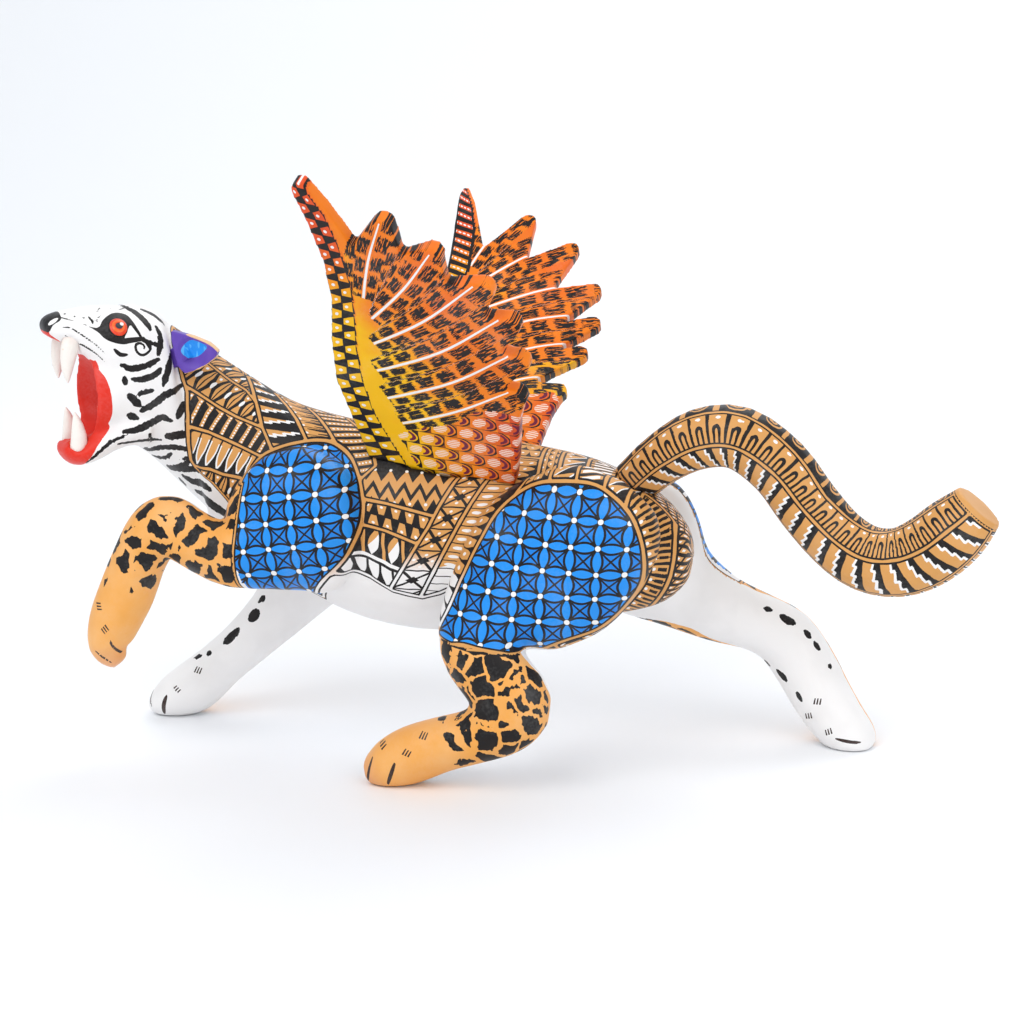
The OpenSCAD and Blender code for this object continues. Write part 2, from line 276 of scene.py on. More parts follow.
def comb(p, u, v, pitch, height):
    """Dark teeth from the rear edge, with a dot at every second one."""
    c = cell(u)
    tooth = (v - 0.25 - odd(u) * 0.3).positive() * 0.5 + 0.1
    p.lay((abs(c) < tooth) & (v > 0.25 + odd(u) * 0.3), BLACK)
    p.lay((abs(c) > 0.42) & (1.0 - odd(u + 0.5)), BLACK)
    p.raised(disc(c * pitch, (v - 0.17) * height, 0.55) & odd(u))


def dotted_strokes(p, u, v, pitch, height):
    """Slanting strokes with dots along them on a dark ground."""
    s = (u + v * 0.9).fract()
    p.lay(s < 0.56, TAN)
    row = (v * (height / 1.5)).fract() - 0.5
    p.lay(disc((s - 0.28) * pitch, row * 1.5, 0.42), WHITE)


def zigzag(p, u, v, pitch, height):
    """A folded line on a dark ground with a dot in every fold."""
    wave = abs(cell(u)) * 2.0
    p.lay(abs(v - 0.22 - wave * 0.3) < 0.14, TAN)
    p.lay(abs(v - 0.62 - wave * 0.3) < 0.11, TAN)
    dots = disc(cell(u) * pitch, (v - 0.1) * height, 0.65)
    dots |= disc(cell(u + 0.5) * pitch, (v - 0.86) * height, 0.6)
    p.raised(dots)


def triangles(p, u, v, pitch, height):
    """Two rows of blunt triangles that point at each other, each with a dot."""
    rows = v * 2.0
    lower = rows > 1.0
    c = cell(u + lower * 0.5)
    y = pick(lower, 2.0 - rows, rows)
    p.lay((abs(c) < 0.4 - y * 0.24) & y.between(0.1, 0.92), TAN)
    p.raised(disc(c * pitch, (y - 0.38) * (height / 2), 0.55))


def standing_petals(p, u, v, pitch, height):
    """Leaves between upright bars, over a row of hanging white petals."""
    wide = u * 0.62
    c, y = cell(wide), v * 2.0 - 0.5
    leaf = abs(c + (y * 0.3 - 0.02)) < (0.24 - y * y) * 1.1
    upper = v < 0.5
    p.lay(leaf & upper, TAN)
    p.lay(leaf & upper & ((v + c * 0.5) > 0.22), WHITE)
    p.lay((abs(c) > 0.42) & upper, TAN)
    p.lay(v.between(0.5, 0.565), WHITE)
    c, low = cell(u), v - 0.72
    half = 0.4 - low.positive() * low.positive() * 5.0
    p.lay((abs(c) < half) & v.between(0.62, 0.97), WHITE)


def crosses(p, u, v, pitch, height):
    """Crossed lines that make diamonds, with squares and dots."""
    c, y = cell(u), v - 0.5
    fade = p.chart("fade")[0]
    p.lay(fade, WHITE)
    p.lay(abs(abs(c) - abs(y) * 1.02) < 0.07, BLACK)
    p.lay(abs(c) > 0.465, BLACK)
    p.lay((abs(c) + abs(y) * 0.9) < 0.2, BLACK)
    dots = disc(c * pitch, (abs(y) - 0.3) * height, 0.5) | disc(
        (abs(c) - 0.3) * pitch, y * height, 0.5)
    p.lay(dots, WHITE)


def long_petals(p, u, v, pitch, height):
    """Long petals across the band with white ovals; they pale towards the belly."""
    c = cell(u)
    fade = p.chart("fade")[0]
    tip = (v - 0.6).positive()
    half = 0.44 - tip * tip * 3.2
    petal = (abs(c) < half) & (v < 0.93)
    p.lay(petal, TAN)
    p.lay(petal & (fade + v * 0.6 > 0.75), WHITE)
    p.lay(disc(c * pitch, (v - 0.32) * (height * 0.34), 0.62), WHITE)
    p.lay(disc(c * pitch, (v - 0.68) * height, 0.5), WHITE)


def scallops(p, u, v, pitch, height):
    """Rows of scallops with dots."""
    rows = v * 3.0
    c = cell(u + rows.floor() * 0.5)
    y = rows.fract()
    arc = c * c * 3.2 + (y - 1.0) * (y - 1.0)
    p.lay(arc < 0.86, TAN)
    p.lay(disc(c * pitch, (y - 0.55) * (height / 3), 0.55), WHITE)


def thorns(p, u, v, pitch, height):
    """Interlocked thorns with short white strokes."""
    c = u.fract()
    p.lay(v < c * 0.8 + 0.1, TAN)
    p.lay(abs(v - c * 0.8 - 0.16) < 0.05, WHITE)
    p.lay(disc((c - 0.75) * pitch, (v - 0.3) * height, 0.55), WHITE)


def ladder(p, u, v, pitch, height):
    """White rungs on a dark ground between tan rails."""
    c = cell(u)
    p.lay(abs(c) < 0.3, TAN)
    p.lay((abs(c) < 0.2) & v.between(0.2, 0.8), WHITE)
    p.lay(abs(v - 0.5) > 0.42, TAN)


def blocks(p, u, v, pitch, height):
    """Blocks in pairs, with a dot on each."""
    c = cell(u)
    p.lay(abs(c) < 0.36, TAN)
    p.lay((abs(c) < 0.05) & odd(u), BLACK)
    p.lay((abs(v - 0.6) < 0.2) & (abs(c) < 0.14), BLACK)
    p.raised(disc(c * pitch, (v - 0.22) * height, 0.6))


def hatching(p, u, v, pitch, height):
    """Fine crossed strokes, tan and white on black."""
    s = (u + v * 1.6).fract()
    t = (u * 0.5 - v * 2.4).fract()
    p.lay(s < 0.55, TAN)
    p.lay(t < 0.22, BLACK)
    p.lay(s.between(0.15, 0.4) & t.between(0.5, 0.8), WHITE)


def arches(p, u, v, pitch, height):
    """Upright cells with a dark arch in each and an oval dot at its top."""
    c = cell(u)
    p.lay(abs(c) > 0.42, BLACK)
    top = (0.56 - v).positive()
    p.lay(disc(c * 4.4, top * 6.0, 1.0), BLACK)
    p.lay(disc(c * 11.0, (0.68 - v).positive() * 6.0, 1.0), TAN)
    p.raised(disc(c * pitch * 0.75, (v - 0.2) * height, 0.62))


def spirals(p, u, v, pitch, height):
    """A curl in every cell."""
    c, y = cell(u) * pitch, (v - 0.5) * height
    far = (c * c + y * y).root()
    turn = y.angle_to(c) * (0.5 / math.pi)
    curl = (far * 0.55 - turn).fract()
    p.lay((curl < 0.5) & (far < 3.0), TAN)
    p.lay(abs(cell(u)) > 0.42, TAN)


def plain(p, u, v, pitch, height):
    """Nothing over the ground, and tan on the tail's cut end, where v is mm along the tail."""
    p.lay(v > 9.0, TAN)


def band_material(name, pattern, pitch=5.0, height=10.0, ground=None, line=TAN, fading=False):
    """A painted band whose borders are a tan line between two dark ones."""
    p = Paint(name, ground or (TAN if pattern in (comb, crosses, arches) else BLACK))
    u, v, edge = p.chart()
    shake = p.noise(170, 1.0, three=True)
    pattern(p, u + shake[0] * (0.9 / pitch), v + shake[1] * (0.9 / height), pitch, height)
    rim = abs(edge + shake[2] * 0.4)
    p.border(rim, 1.2, 0.52, line)
    if fading:
        p.lay((rim < 0.52) & p.chart("fade")[0], WHITE)
    return p.done()


def lattice_material():
    """Blue ground with petals on every grid edge, crosses in the cells and white dots."""
    p = Paint("blue_lattice", BLUE)
    u, v, edge = p.chart()
    shake = p.noise(110, 1.0, three=True)
    a, b = (u + shake[0] * 0.1).fract(), (v + shake[1] * 0.1).fract()
    near_a, near_b = 0.5 - abs(a - 0.5), 0.5 - abs(b - 0.5)
    lens_a, lens_b = a * (1.0 - a) * 0.82, b * (1.0 - b) * 0.82
    petal = (near_b < lens_a) | (near_a < lens_b)
    p.lay(petal, BLUE_LIGHT)
    lines = (abs(near_b - lens_a) < 0.048) | (abs(near_a - lens_b) < 0.048)
    lines &= 1.0 - ((near_b < lens_a - 0.045) | (near_a < lens_b - 0.045))
    diagonals = ((abs(a - b) < 0.05) | (abs(a + b - 1.0) < 0.05)) & (1.0 - petal)
    p.lay(lines | diagonals | disc(near_a, near_b, 0.13), BLACK)
    p.raised(disc(near_a, near_b, 0.105))
    rim = abs(edge + shake[2] * 0.4)
    p.border(rim, 1.1, 0.48)
    p.lay((rim < 0.48) & p.chart("fade")[0], WHITE)
    return p.done(0.34)


def white_material():
    """White inner side of the legs, without a border line."""
    p = Paint("white_side", WHITE)
    p.lay((p.noise(45, 2) * 0.6).positive(), colour("E2DEDF"))
    return p.done(0.42)


def leopard_material(name, gap):
    """Ochre coat with ragged brushed spots, white on the inner side, plain on the paw."""
    p = Paint(name, OCHRE)
    inner, paw, edge = p.chart()
    claws, blots, toe = p.chart("marks")
    length, count, away = p.chart("ticks")
    p.lay((p.noise(60, 3) + 0.12) * 1.6, OCHRE_PALE)
    p.lay((1.0 - toe * 0.09).positive() * 0.7, colour("DD9A78"))
    ragged, soft = p.noise(640, 2, (1, 1, 0.35)), p.noise(120, 2)
    length, count = length + soft * 0.5, count + soft * 0.4
    wander = p.add("TexNoise", Scale=130, Vector=p.place)
    drift = p.add("VectorMath", {"operation": "MULTIPLY_ADD"})
    for slot, item in zip(drift.inputs, (wander.outputs["Color"], (0.007,) * 3, p.place)):
        feed(slot, item)
    cells = p.add("TexVoronoi", {"feature": "DISTANCE_TO_EDGE"}, Scale=118, Randomness=0.9,
                  Vector=drift.outputs[0])
    deep = Value(cells.outputs["Distance"])
    shy = (12.0 - paw).positive() * 0.014 + (inner * 0.1 + 0.3).positive()
    p.lay((inner + soft * 3.0) > 0.0, WHITE)
    p.lay(((deep + ragged * 0.24) > (shy + gap)) & (paw > 0.0), BLACK)
    p.lay((blots + ragged * 1.5) < 0.0, BLACK)
    p.lay((claws + soft * 0.15) < 0.0, BROWN)
    tick = abs((count * (1.0 / TICK_GAP) + 0.5).fract() - 0.5) < (0.26 - length * 0.04)
    tick &= (abs(length + count * 0.2) < 1.25) & (abs(count) < 1.6) & (away < 3.2)
    p.lay(tick, BROWN)
    p.lay((abs(edge + soft * 0.6) < 0.7) & (inner < -1.0), BLACK)
    return p.done(0.42)


# ---- solid shapes taken from the carving ----

def link(name, data):
    obj = bpy.data.objects.new(name, data)
    bpy.context.scene.collection.objects.link(obj)
    return obj


def shade_smooth(mesh):
    mesh.polygons.foreach_set("use_smooth", [True] * len(mesh.polygons))


def to_object(name, work):
    """Object made of a finished bmesh."""
    mesh = bpy.data.meshes.new(name)
    work.to_mesh(mesh)
    work.free()
    return link(name, mesh)


def copy_of(name, nodes):
    """One object made of copies of CAD nodes, with split points merged."""
    work = bmesh.new()
    for node in nodes:
        work.from_mesh(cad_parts[node].data)
    bmesh.ops.remove_doubles(work, verts=work.verts, dist=2e-6)
    return to_object(name, work)


def sand(name, nodes, voxel, rounds):
    """Copies CAD nodes into one piece, remeshes it evenly and sands its facets down."""
    obj = copy_of(name, nodes)
    old = obj.data
    remesh = obj.modifiers.new("remesh", "REMESH")
    remesh.mode = "VOXEL"
    remesh.voxel_size = voxel * MM
    smooth = obj.modifiers.new("smooth", "SMOOTH")
    smooth.factor = 0.5
    smooth.iterations = rounds
    graph = bpy.context.evaluated_depsgraph_get()
    mesh = bpy.data.meshes.new_from_object(obj.evaluated_get(graph))
    obj.modifiers.clear()
    obj.data = mesh
    mesh.name = name
    bpy.data.meshes.remove(old)
    shade_smooth(mesh)
    return obj


def points(mesh):
    """Vertices in millimetres."""
    flat = np.empty(len(mesh.vertices) * 3)
    mesh.vertices.foreach_get("co", flat)
    return flat.reshape(-1, 3) / MM


def set_points(obj, spots):
    obj.data.vertices.foreach_set("co", (spots * MM).astype(np.float32).ravel())
    obj.data.update()


def corners(obj):
    """Vertex of every face corner; every face of a remeshed piece has four."""
    index = np.empty(len(obj.data.loops), np.int32)
    obj.data.loops.foreach_get("vertex_index", index)
    return index


def blend_in(obj, skin, near=2.5, far=6.0):
    """Draws a piece's outer points onto the sanded skin of the whole body."""
    rest = points(obj.data)
    wrap = obj.modifiers.new("wrap", "SHRINKWRAP")
    wrap.target = skin
    wrap.wrap_method = "NEAREST_SURFACEPOINT"
    graph = bpy.context.evaluated_depsgraph_get()
    goal = points(obj.evaluated_get(graph).to_mesh())
    obj.modifiers.clear()
    gap = np.linalg.norm(goal - rest, axis=1)
    share = np.clip((far - gap) / (far - near), 0, 1)[:, None]
    set_points(obj, rest + share * (goal - rest))


def store(obj, name, values):
    """Stores three numbers on every face corner."""
    slot = obj.data.attributes.new(name, "FLOAT_VECTOR", "CORNER")
    slot.data.foreach_set("vector", np.asarray(values, np.float32).ravel())


def paint_by_region(obj, regions):
    """regions: material, depth inside the region and chart at every point, as numpy arrays.
    Every face takes the region that it lies deepest in, and its corners that region's chart."""
    index = corners(obj)
    depth = np.stack([r[1] for r in regions])
    by_face = depth[:, index].reshape(len(regions), -1, 4).mean(2)
    choice = by_face.argmax(0)
    charts = np.stack([np.stack([r[2], r[3], r[1]], 1) for r in regions])
    store(obj, "chart", charts[np.repeat(choice, 4), index])
    for material, *_ in regions:
        obj.data.materials.append(material)
    obj.data.polygons.foreach_set("material_index", choice)


# ---- lines and shapes on the body, in millimetres ----

def interp(at, line):
    """Height of a line given as pairs, carried straight on past its ends."""
    line = np.array(line, float)
    ends = []
    for first, second in ((0, 1), (-1, -2)):
        step = line[first] - line[second]
        ends.append(line[first] + step / max(abs(step[0]), 1e-6) * 90)
    line = np.vstack([ends[0], line, ends[1]])
    return interp_inside(at, line[line[:, 0].argsort()])


def interp_inside(at, line):
    """Height of a line given as pairs, level past its ends."""
    return np.interp(at, *np.array(line, float).T)


def curve(p, steps):
    """Catmull-Rom curve from the second point of p to the last but one, without its end."""
    return np.array([b + 0.5 * t * (c - a + t * (2 * a - 5 * b + 4 * c - d
                                                 + t * (3 * b - a - 3 * c + d)))
                     for a, b, c, d in zip(p, p[1:], p[2:], p[3:])
                     for t in np.arange(steps) / steps])


def open_spline(shape, steps):
    """Smooth open line through the points of a shape."""
    p = np.array(shape, float)
    return np.vstack([curve([2 * p[0] - p[1], *p, 2 * p[-1] - p[-2]], steps), p[-1]])


def rounded(shape, steps=5):
    """Closed smooth outline through the points of a shape."""
    p = np.array(shape, float)
    return curve([p[-1], *p, p[0], p[1]], steps)


def beyond(along, across, line):
    """Signed distance across a line given as (along, across) pairs."""
    slope = (line[-1][1] - line[0][1]) / (line[-1][0] - line[0][0])
    return (across - interp(along, line)) / math.hypot(1, slope)


def nearest(spots, path):
    """Distance to a flat line, the length along it to the nearest place, and the height of a
    point to the left of the line there."""
    best = np.full(len(spots), 1e9)
    along, aside = np.zeros((2, len(spots)))
    travelled = 0.0
    for a, b in zip(path, path[1:]):
        ab = b - a
        span = math.hypot(*ab) + 1e-9
        t = np.clip(((spots - a) @ ab) / span ** 2, 0, 1)
        off = spots - a - t[:, None] * ab
        far = np.hypot(*off.T)
        nearer = far < best
        along = np.where(nearer, travelled + t * span, along)
        aside = np.where(nearer, off @ np.array([-ab[1], ab[0]]) / span, aside)
        best = np.minimum(best, far)
        travelled += span
    return best, along, aside


def outside(shape, x, z):
    """Distance to a closed outline, negative inside it, and the nearest place along it."""
    loop = np.vstack([shape, shape[:1]])
    best, along, _ = nearest(np.stack([x, z], 1), loop)
    inner = np.zeros(len(x), bool)
    for (ax, az), (bx, bz) in zip(loop, loop[1:]):
        if az != bz:
            inner ^= ((az > z) != (bz > z)) & (x < (bx - ax) * (z - az) / (bz - az) + ax)
    return np.where(inner, -best, best), along


def torso_profile():
    """Middle and half sizes of the torso at stations along it."""
    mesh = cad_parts["torso"].data
    co = np.array([v.co for v in mesh.vertices]) / MM
    tri = co[np.array([list(f.vertices) for f in mesh.polygons])]
    stations = np.arange(co[:, 0].min() + 1.5, co[:, 0].max() - 0.5, 3.0)
    rows = []
    for x in stations:
        cut = []
        for i, j in ((0, 1), (1, 2), (2, 0)):
            a, b = tri[:, i], tri[:, j]
            hit = (a[:, 0] - x) * (b[:, 0] - x) < 0
            k = (x - a[hit, 0]) / (b[hit, 0] - a[hit, 0])
            cut.append(a[hit] + k[:, None] * (b[hit] - a[hit]))
        cut = np.concatenate(cut)
        high, low = cut.max(0), cut.min(0)
        rows.append([(high[2] + low[2]) / 2, (high[2] - low[2]) / 2,
                     (high[1] - low[1]) / 2, (high[1] + low[1]) / 2])
    return stations, np.array(rows).T


STATIONS, PROFILE = torso_profile()

# Painted lines of the neck from the top down, as (x, girth); girth grows from the belly to the
# spine
NECK_LINES = [
    [(-121.9, 157.1), (-116.9, 154.2), (-107.7, 149.5), (-101.8, 141.3)],
    [(-126.6, 141.4), (-118.8, 138.0), (-108.6, 133.4), (-98.8, 130.4)],
    [(-125.7, 127.0), (-117.8, 125.4), (-107.3, 121.6), (-92.3, 115.4)],
    [(-126.2, 110.5), (-117.8, 111.0), (-112.3, 109.3), (-98.2, 107.6)]]
# Lines across the neck and the back, as (girth, x). ACROSS runs from the throat to the tail:
# three on the neck, the foot of the wing, two diagonals on the flank and five on the rump
COLLAR = [(117.4, -126.4), (131, -126.2), (139.7, -127.0), (147, -130), (163, -138),
          (175, -142)]
ACROSS = [
    [(116.5, -91), (130.5, -98.4), (141.2, -102.2), (160.5, -109)],
    [(118.7, -76.4), (138.6, -87), (154, -96.7)],
    [(120.1, -64.9), (135, -74), (150, -84)],
    [(60, -104), (90, -80), (104, -64), (110.6, -57.5), (118, -52), (130, -56), (150, -70)],
    [(74.8, -40.5), (94.0, -28.8), (112.9, -20.1)],
    [(65.2, -32.9), (89.5, -20.1), (112.2, -8.7)],
    [(96.3, 1.6), (103.1, 5.5), (108.3, 8.6), (116, 11), (131.5, 10)],
    [(107.7, 19.4), (133.7, 17.0)],
    [(107.0, 29.6), (134.4, 26.7)],
    [(104.2, 39.9), (128.0, 38.7)],
    [(98.0, 48.0), (120.0, 49.5)]]
ZIGZAG_FOOT = [(-56.7, 103.6), (-46.1, 102.2), (-28.5, 98.5)]
TRIANGLE_FOOT = [(-55.6, 93.7), (-45.6, 91.6), (-34.2, 87.6)]
LOW_COLLAR = [(60, -91), (80, -98), (92, -105), (99.4, -111), (105.8, -117), (108.9, -122.7),
              (110.5, -125), (113.7, -126.4), (122, -126.4)]
BELLY = [(-110, 79), (-63.8, 78.5), (-61.3, 76.2), (-52.9, 72.8), (-44, 66.6), (-37.7, 65.2),
         (-32.6, 64.2), (-25.5, 66.9), (-19.5, 70.4), (-12, 66), (8, 50), (50, 44), (70, 48)]
SHOULDER = rounded([(-77, 122.8), (-88, 121), (-96.5, 117), (-100.6, 110.5), (-101.3, 102.7),
                    (-100.6, 92), (-100.3, 81), (-100, 66), (-98, 50), (-84, 48), (-71, 69),
                    (-60, 81), (-55.3, 91), (-54.5, 100), (-57, 109), (-62, 117), (-69, 121.5)])
HAUNCH = rounded([(24, 115.3), (12.5, 113), (1.5, 104.4), (-5.1, 92.9), (-10.8, 80),
                  (-15.1, 68.9), (-21, 55), (-9, 56.5), (-1, 55.5), (8, 53.5), (13.5, 50.5),
                  (25.3, 55.6), (38.9, 60.5), (48.3, 69.4), (53.9, 79), (54.6, 91), (50.6, 103),
                  (42.8, 111), (35.2, 114.8)])
FAR_HAUNCH = rounded([(2, 104), (20, 124), (44, 123), (64, 100), (76, 80), (83, 64), (80, 52),
                      (66, 48), (40, 52), (14, 66), (2, 84)])
RING_WIDTH = 7.5
LATTICE_PITCH = 9.6
TICK_GAP = 1.1
FAR_OFF = 30.0           # distance stored where no painted mark is near, mm


COLLAR_FOOT = 122        # height where the side of the collar meets its top, mm
NECK_UNDER = 13          # width of the lowest band of the neck on the right side, mm
BACK_FOOT = 128          # girth where the rows of scales on the back end
FLANK_HEAD = 118         # girth of the upper edge of the flank's zigzag
HAUNCH_ROOT = 14         # a leg's patch stays this far from the middle of the body
FADE_TOP = 84            # girth below which the tan of the flank fades to white

# Pattern, length of a cell and width of each painted band, in mm
BANDS = {
    "neck_top": (leaves, 3.3, 12), "neck_leaves": (leaves, 3.1, 10),
    "neck_hooks": (hooks, 4.1, 10), "neck_petals": (hanging_petals, 4.2, 10),
    "neck_low": (leaves, 3.1, 12), "neck_frets": (frets, 6.2, 10), "neck_comb": (comb, 2.1, 12),
    "wing_foot": (dotted_strokes, 3.8, 12), "flank_zigzag": (zigzag, 6.1, 18),
    "flank_triangles": (triangles, 5.6, 12), "flank_petals": (standing_petals, 4.8, 18),
    "flank_crosses": (crosses, 8.5, 9), "flank_long": (long_petals, 3.4, 12),
    "back_scales": (scallops, 5.0, 18), "rump_scallops": (scallops, 5.0, 14),
    "rump_thorns": (thorns, 5.0, 10), "rump_ladder": (ladder, 2.6, 10),
    "rump_cross": (thorns, 5.0, 9), "rump_blocks": (blocks, 4.0, RING_WIDTH),
    "rump_hatching": (hatching, 3.2, 9), "white_coat": (plain, 5, 5, WHITE)}


class Figure:
    """Painted coordinates and signed distances to the painted lines, for points in mm."""

    def __init__(self, spots):
        self.spots = spots
        x, y, z = spots.T
        middle, half_z, half_y, axis = [np.interp(x, STATIONS, row) for row in PROFILE]
        self.x, self.z = x, z
        self.side = y - axis
        self.near = self.side < 0
        g = self.g = middle + half_z * np.arctan2((z - middle) / half_z,
                                                  np.abs(self.side) / half_y)
        inward = HAUNCH_ROOT - np.abs(self.side)
        self.shoulder = np.maximum(outside(SHOULDER, x, z)[0], inward)
        haunch, self.haunch_along = np.where(self.near, outside(HAUNCH, x, z),
                                             outside(FAR_HAUNCH, x, z))
        self.haunch = np.maximum(haunch, inward)
        self.neck = [beyond(x, g, line) for line in NECK_LINES]
        self.across = [beyond(g, x, line) for line in ACROSS]
        self.collar = x - np.where(z < COLLAR_FOOT, interp_inside(z, LOW_COLLAR),
                                   interp_inside(g, COLLAR)) + np.clip(self.side * 1.1, 0, 20)
        self.zig = beyond(x, g, ZIGZAG_FOOT)
        self.tri = beyond(x, g, TRIANGLE_FOOT)
        self.belly = g - interp(x, BELLY)


def least(*parts):
    return np.minimum.reduce(parts)


def share(first, second):
    """Place between two lines, from the distance to each."""
    total = first + second
    return np.clip(first / np.where(np.abs(total) < 1e-6, 1e-6, total), -0.5, 1.5)


def body_regions(f):
    """Region table of the torso's skin: name, depth, and the chart's u and v."""
    n1, n2, n3, n4 = f.neck
    c1, c2, c3, wing_front, diag1, diag2, r1, r2, r3, r4, r5 = f.across
    x, g, co, sh, ha, be = f.x, f.g, f.collar, f.shoulder, f.haunch, f.belly
    zig, tri, below_back = f.zig, f.tri, BACK_FOOT - g
    slant = (x - 0.42 * g) / math.hypot(1, 0.42)
    bands = [
        ("neck_top", least(co, n1, -c1), slant, n1 / 12),
        ("neck_leaves", least(co, -n1, n2, -c1), slant, share(-n1, n2)),
        ("neck_hooks", least(co, -n2, n3, -c1, sh), slant, share(-n2, n3)),
        ("neck_petals", least(co, -n3, n4, -c1, sh), slant, share(-n3, n4)),
        ("neck_low", least(co, -n4, sh, -c1, be, np.where(f.near, 99, NECK_UNDER + n4)), slant,
         -n4 / 12),
        ("neck_frets", least(c1, -c2, sh, -wing_front), -g, share(c1, -c2)),
        ("neck_comb", least(c2, -c3, sh, -wing_front), -g, share(c2, -c3)),
        ("wing_foot", least(c3, -wing_front, sh), -g, share(c3, -wing_front)),
        ("flank_zigzag", least(wing_front, zig, -diag1, sh, below_back), x,
         (FLANK_HEAD - g) / 18),
        ("back_scales", least(wing_front, -r1, -below_back), x, -below_back / 18),
        ("flank_triangles", least(wing_front, -zig, tri, -diag1, sh), x, share(-zig, tri)),
        ("flank_petals", least(wing_front, -tri, be, -diag1, sh), x, share(-tri, be)),
        ("flank_crosses", least(diag1, -diag2, be, below_back), -g, share(diag1, -diag2)),
        ("flank_long", least(diag2, -r1, ha, be, below_back), -g, np.clip(diag2, 0, 99) / 13),
        ("rump_scallops", least(r1, -r2, ha), g, share(r1, -r2)),
        ("rump_thorns", least(r2, -r3, ha), g, share(r2, -r3)),
        ("rump_ladder", least(r3, -r4, ha), g, share(r3, -r4)),
        ("rump_cross", least(r4, -r5, ha), g, share(r4, -r5)),
        ("rump_blocks", least(np.maximum(r5, (x - 20) * (g < 80) - 8), ha, RING_WIDTH - ha, be),
         f.haunch_along, ha / RING_WIDTH),
        ("rump_hatching", least(r5, ha - RING_WIDTH, be), g, (ha - RING_WIDTH) / 9),
        ("white_coat", least(-be, ha, sh), g * 0, g * 0)]
    return ([("tiger", np.maximum(-co, np.where(f.near, -99, -n4 - NECK_UNDER)), g * 0, g * 0)]
            + [(name, depth, u / BANDS[name][1], v) for name, depth, u, v in bands]
            + [("lattice", -sh, *lattice_place(f, (-78, 96), 6)),
               ("lattice", -ha, *lattice_place(f, (20, 84), -4))])


def lattice_place(f, middle, turn):
    """Grid coordinates on a bulging patch, by distance and bearing from its middle."""
    dx, dz = f.x - middle[0], f.z - middle[1]
    flat = np.hypot(dx, dz) + 1e-6
    drop = np.minimum(np.abs(f.side) - 36, 0)
    stretch = np.hypot(flat, drop) / flat / LATTICE_PITCH
    c, s = math.cos(math.radians(turn)), math.sin(math.radians(turn))
    return (dx * c + dz * s) * stretch, (dz * c - dx * s) * stretch


def make_materials():
    """Every painted material of the body by region name."""
    made = {name: band_material(name, *band, fading="flank" in name or "coat" in name)
            for name, band in BANDS.items()}
    made["lattice"] = lattice_material()
    made["white_side"] = white_material()
    made["foreleg"] = leopard_material("foreleg_coat", 0.15)
    made["hindleg"] = leopard_material("hindleg_coat", 0.085)
    made["tiger"] = tiger_material()
    return made


# Toe tip, plain length of the paw, and (x, y) along the edge of a leg's white inner side
LEGS = {"foreleg_left": ((-153, -55, 36), 32, [(-160, -50), (-116, -50), (-104, -32),
                                             (0, -32)]),
        "foreleg_right": ((-160, -5, 3), 30, [(-150, 5.5), (-134, 8), (-124, 10.5), (-114, 15),
                          (-104, 20), (-90, 26)]),
        "hindleg_left": ((-46, -65, 3), 36, [(-60, -57), (40, -57)]),
        "hindleg_right": ((132, 24, 0), 22, [(44, 12), (58, 14.5), (65, 17), (72, 20.5), (80, 25),
                          (92, 29), (104, 31.5), (130, 31.5)])}
LEG_AXIS = [(45, 72), (57, 61.5), (72, 53), (86, 48), (100, 40), (120, 10)]
# Painted marks of each leg seen from the left, as (x, z) in millimetres: places of the
# groups of three ticks with their slant in degrees, claw lines, and blots with their size
TICKS = {"foreleg_left": [(-154, 60.5, 8), (-151.4, 51.8, -58)],
         "foreleg_right": [(-146, 22.5, 65), (-138, 20.5, 70), (-155, 17, 60),
                           (-146.5, 12.5, 45)],
         "hindleg_left": [(-22.3, 21.3, 72), (-28, 14.8, 62), (-31.4, 22, 60), (-39, 16, 50)],
         "hindleg_right": [(108.4, 13.5, 100), (116.6, 8.0, 105), (112, 20, 80)]}
CLAWS = {"foreleg_left": [(0.55, (-150.2, 48), (-149, 43), (-147.6, 38.6)),
                          (0.5, (-156.5, 42.5), (-154, 40), (-151, 37.2))],
         "foreleg_right": [(0.9, (-150.6, 9.8), (-151.8, 6), (-152.4, 1.6)),
                           (0.5, (-158.8, 10.5), (-159, 7), (-158, 4))],
         "hindleg_left": [(0.75, (-32.4, 11), (-34, 6.4), (-35.9, 1.6)),
                          (0.7, (-42.2, 11.5), (-43.4, 6.4), (-44.4, 1.6))],
         "hindleg_right": [(0.7, (119.5, 5.4), (124.2, 4.6), (129, 4))]}
BLOTS = {"foreleg_right": [(2.4, (-114.5, 45), (-117, 42)), (2.0, (-122, 37.5), (-127.5, 32)),
                           (1.2, (-134, 27.5), (-134.6, 27)), (1.3, (-138, 25.6), (-141, 24.5)),
                           (1.5, (-112, 51), (-114, 49))],
         "hindleg_right": [(1.2, (90, 55.6), (92.5, 54.8)), (1.8, (96.5, 52.6), (101.5, 50)),
                           (1.3, (105.8, 46.8), (108, 44.4)), (1.2, (109.5, 42.4), (111.3, 39.8)),
                           (1.1, (115.4, 33.8), (116, 32.4)), (1.1, (90, 33.5), (92, 31.5)),
                           (1.6, (95.5, 30.5), (99, 27)), (1.2, (103.5, 22.5), (105.5, 19.5))]}


def leg_depth(name, f):
    """How deep a point is in a leg's own coat, below the blue patch."""
    if name == "foreleg_left":
        return np.minimum(-100 - f.x, 108 - f.z)
    if name == "foreleg_right":
        return np.maximum(-100 - f.x, 62 - f.z)
    if name == "hindleg_left":
        return 55.5 - f.z - (f.x + 10) * 0.12
    return np.maximum(f.x - 80, 50 - f.z)


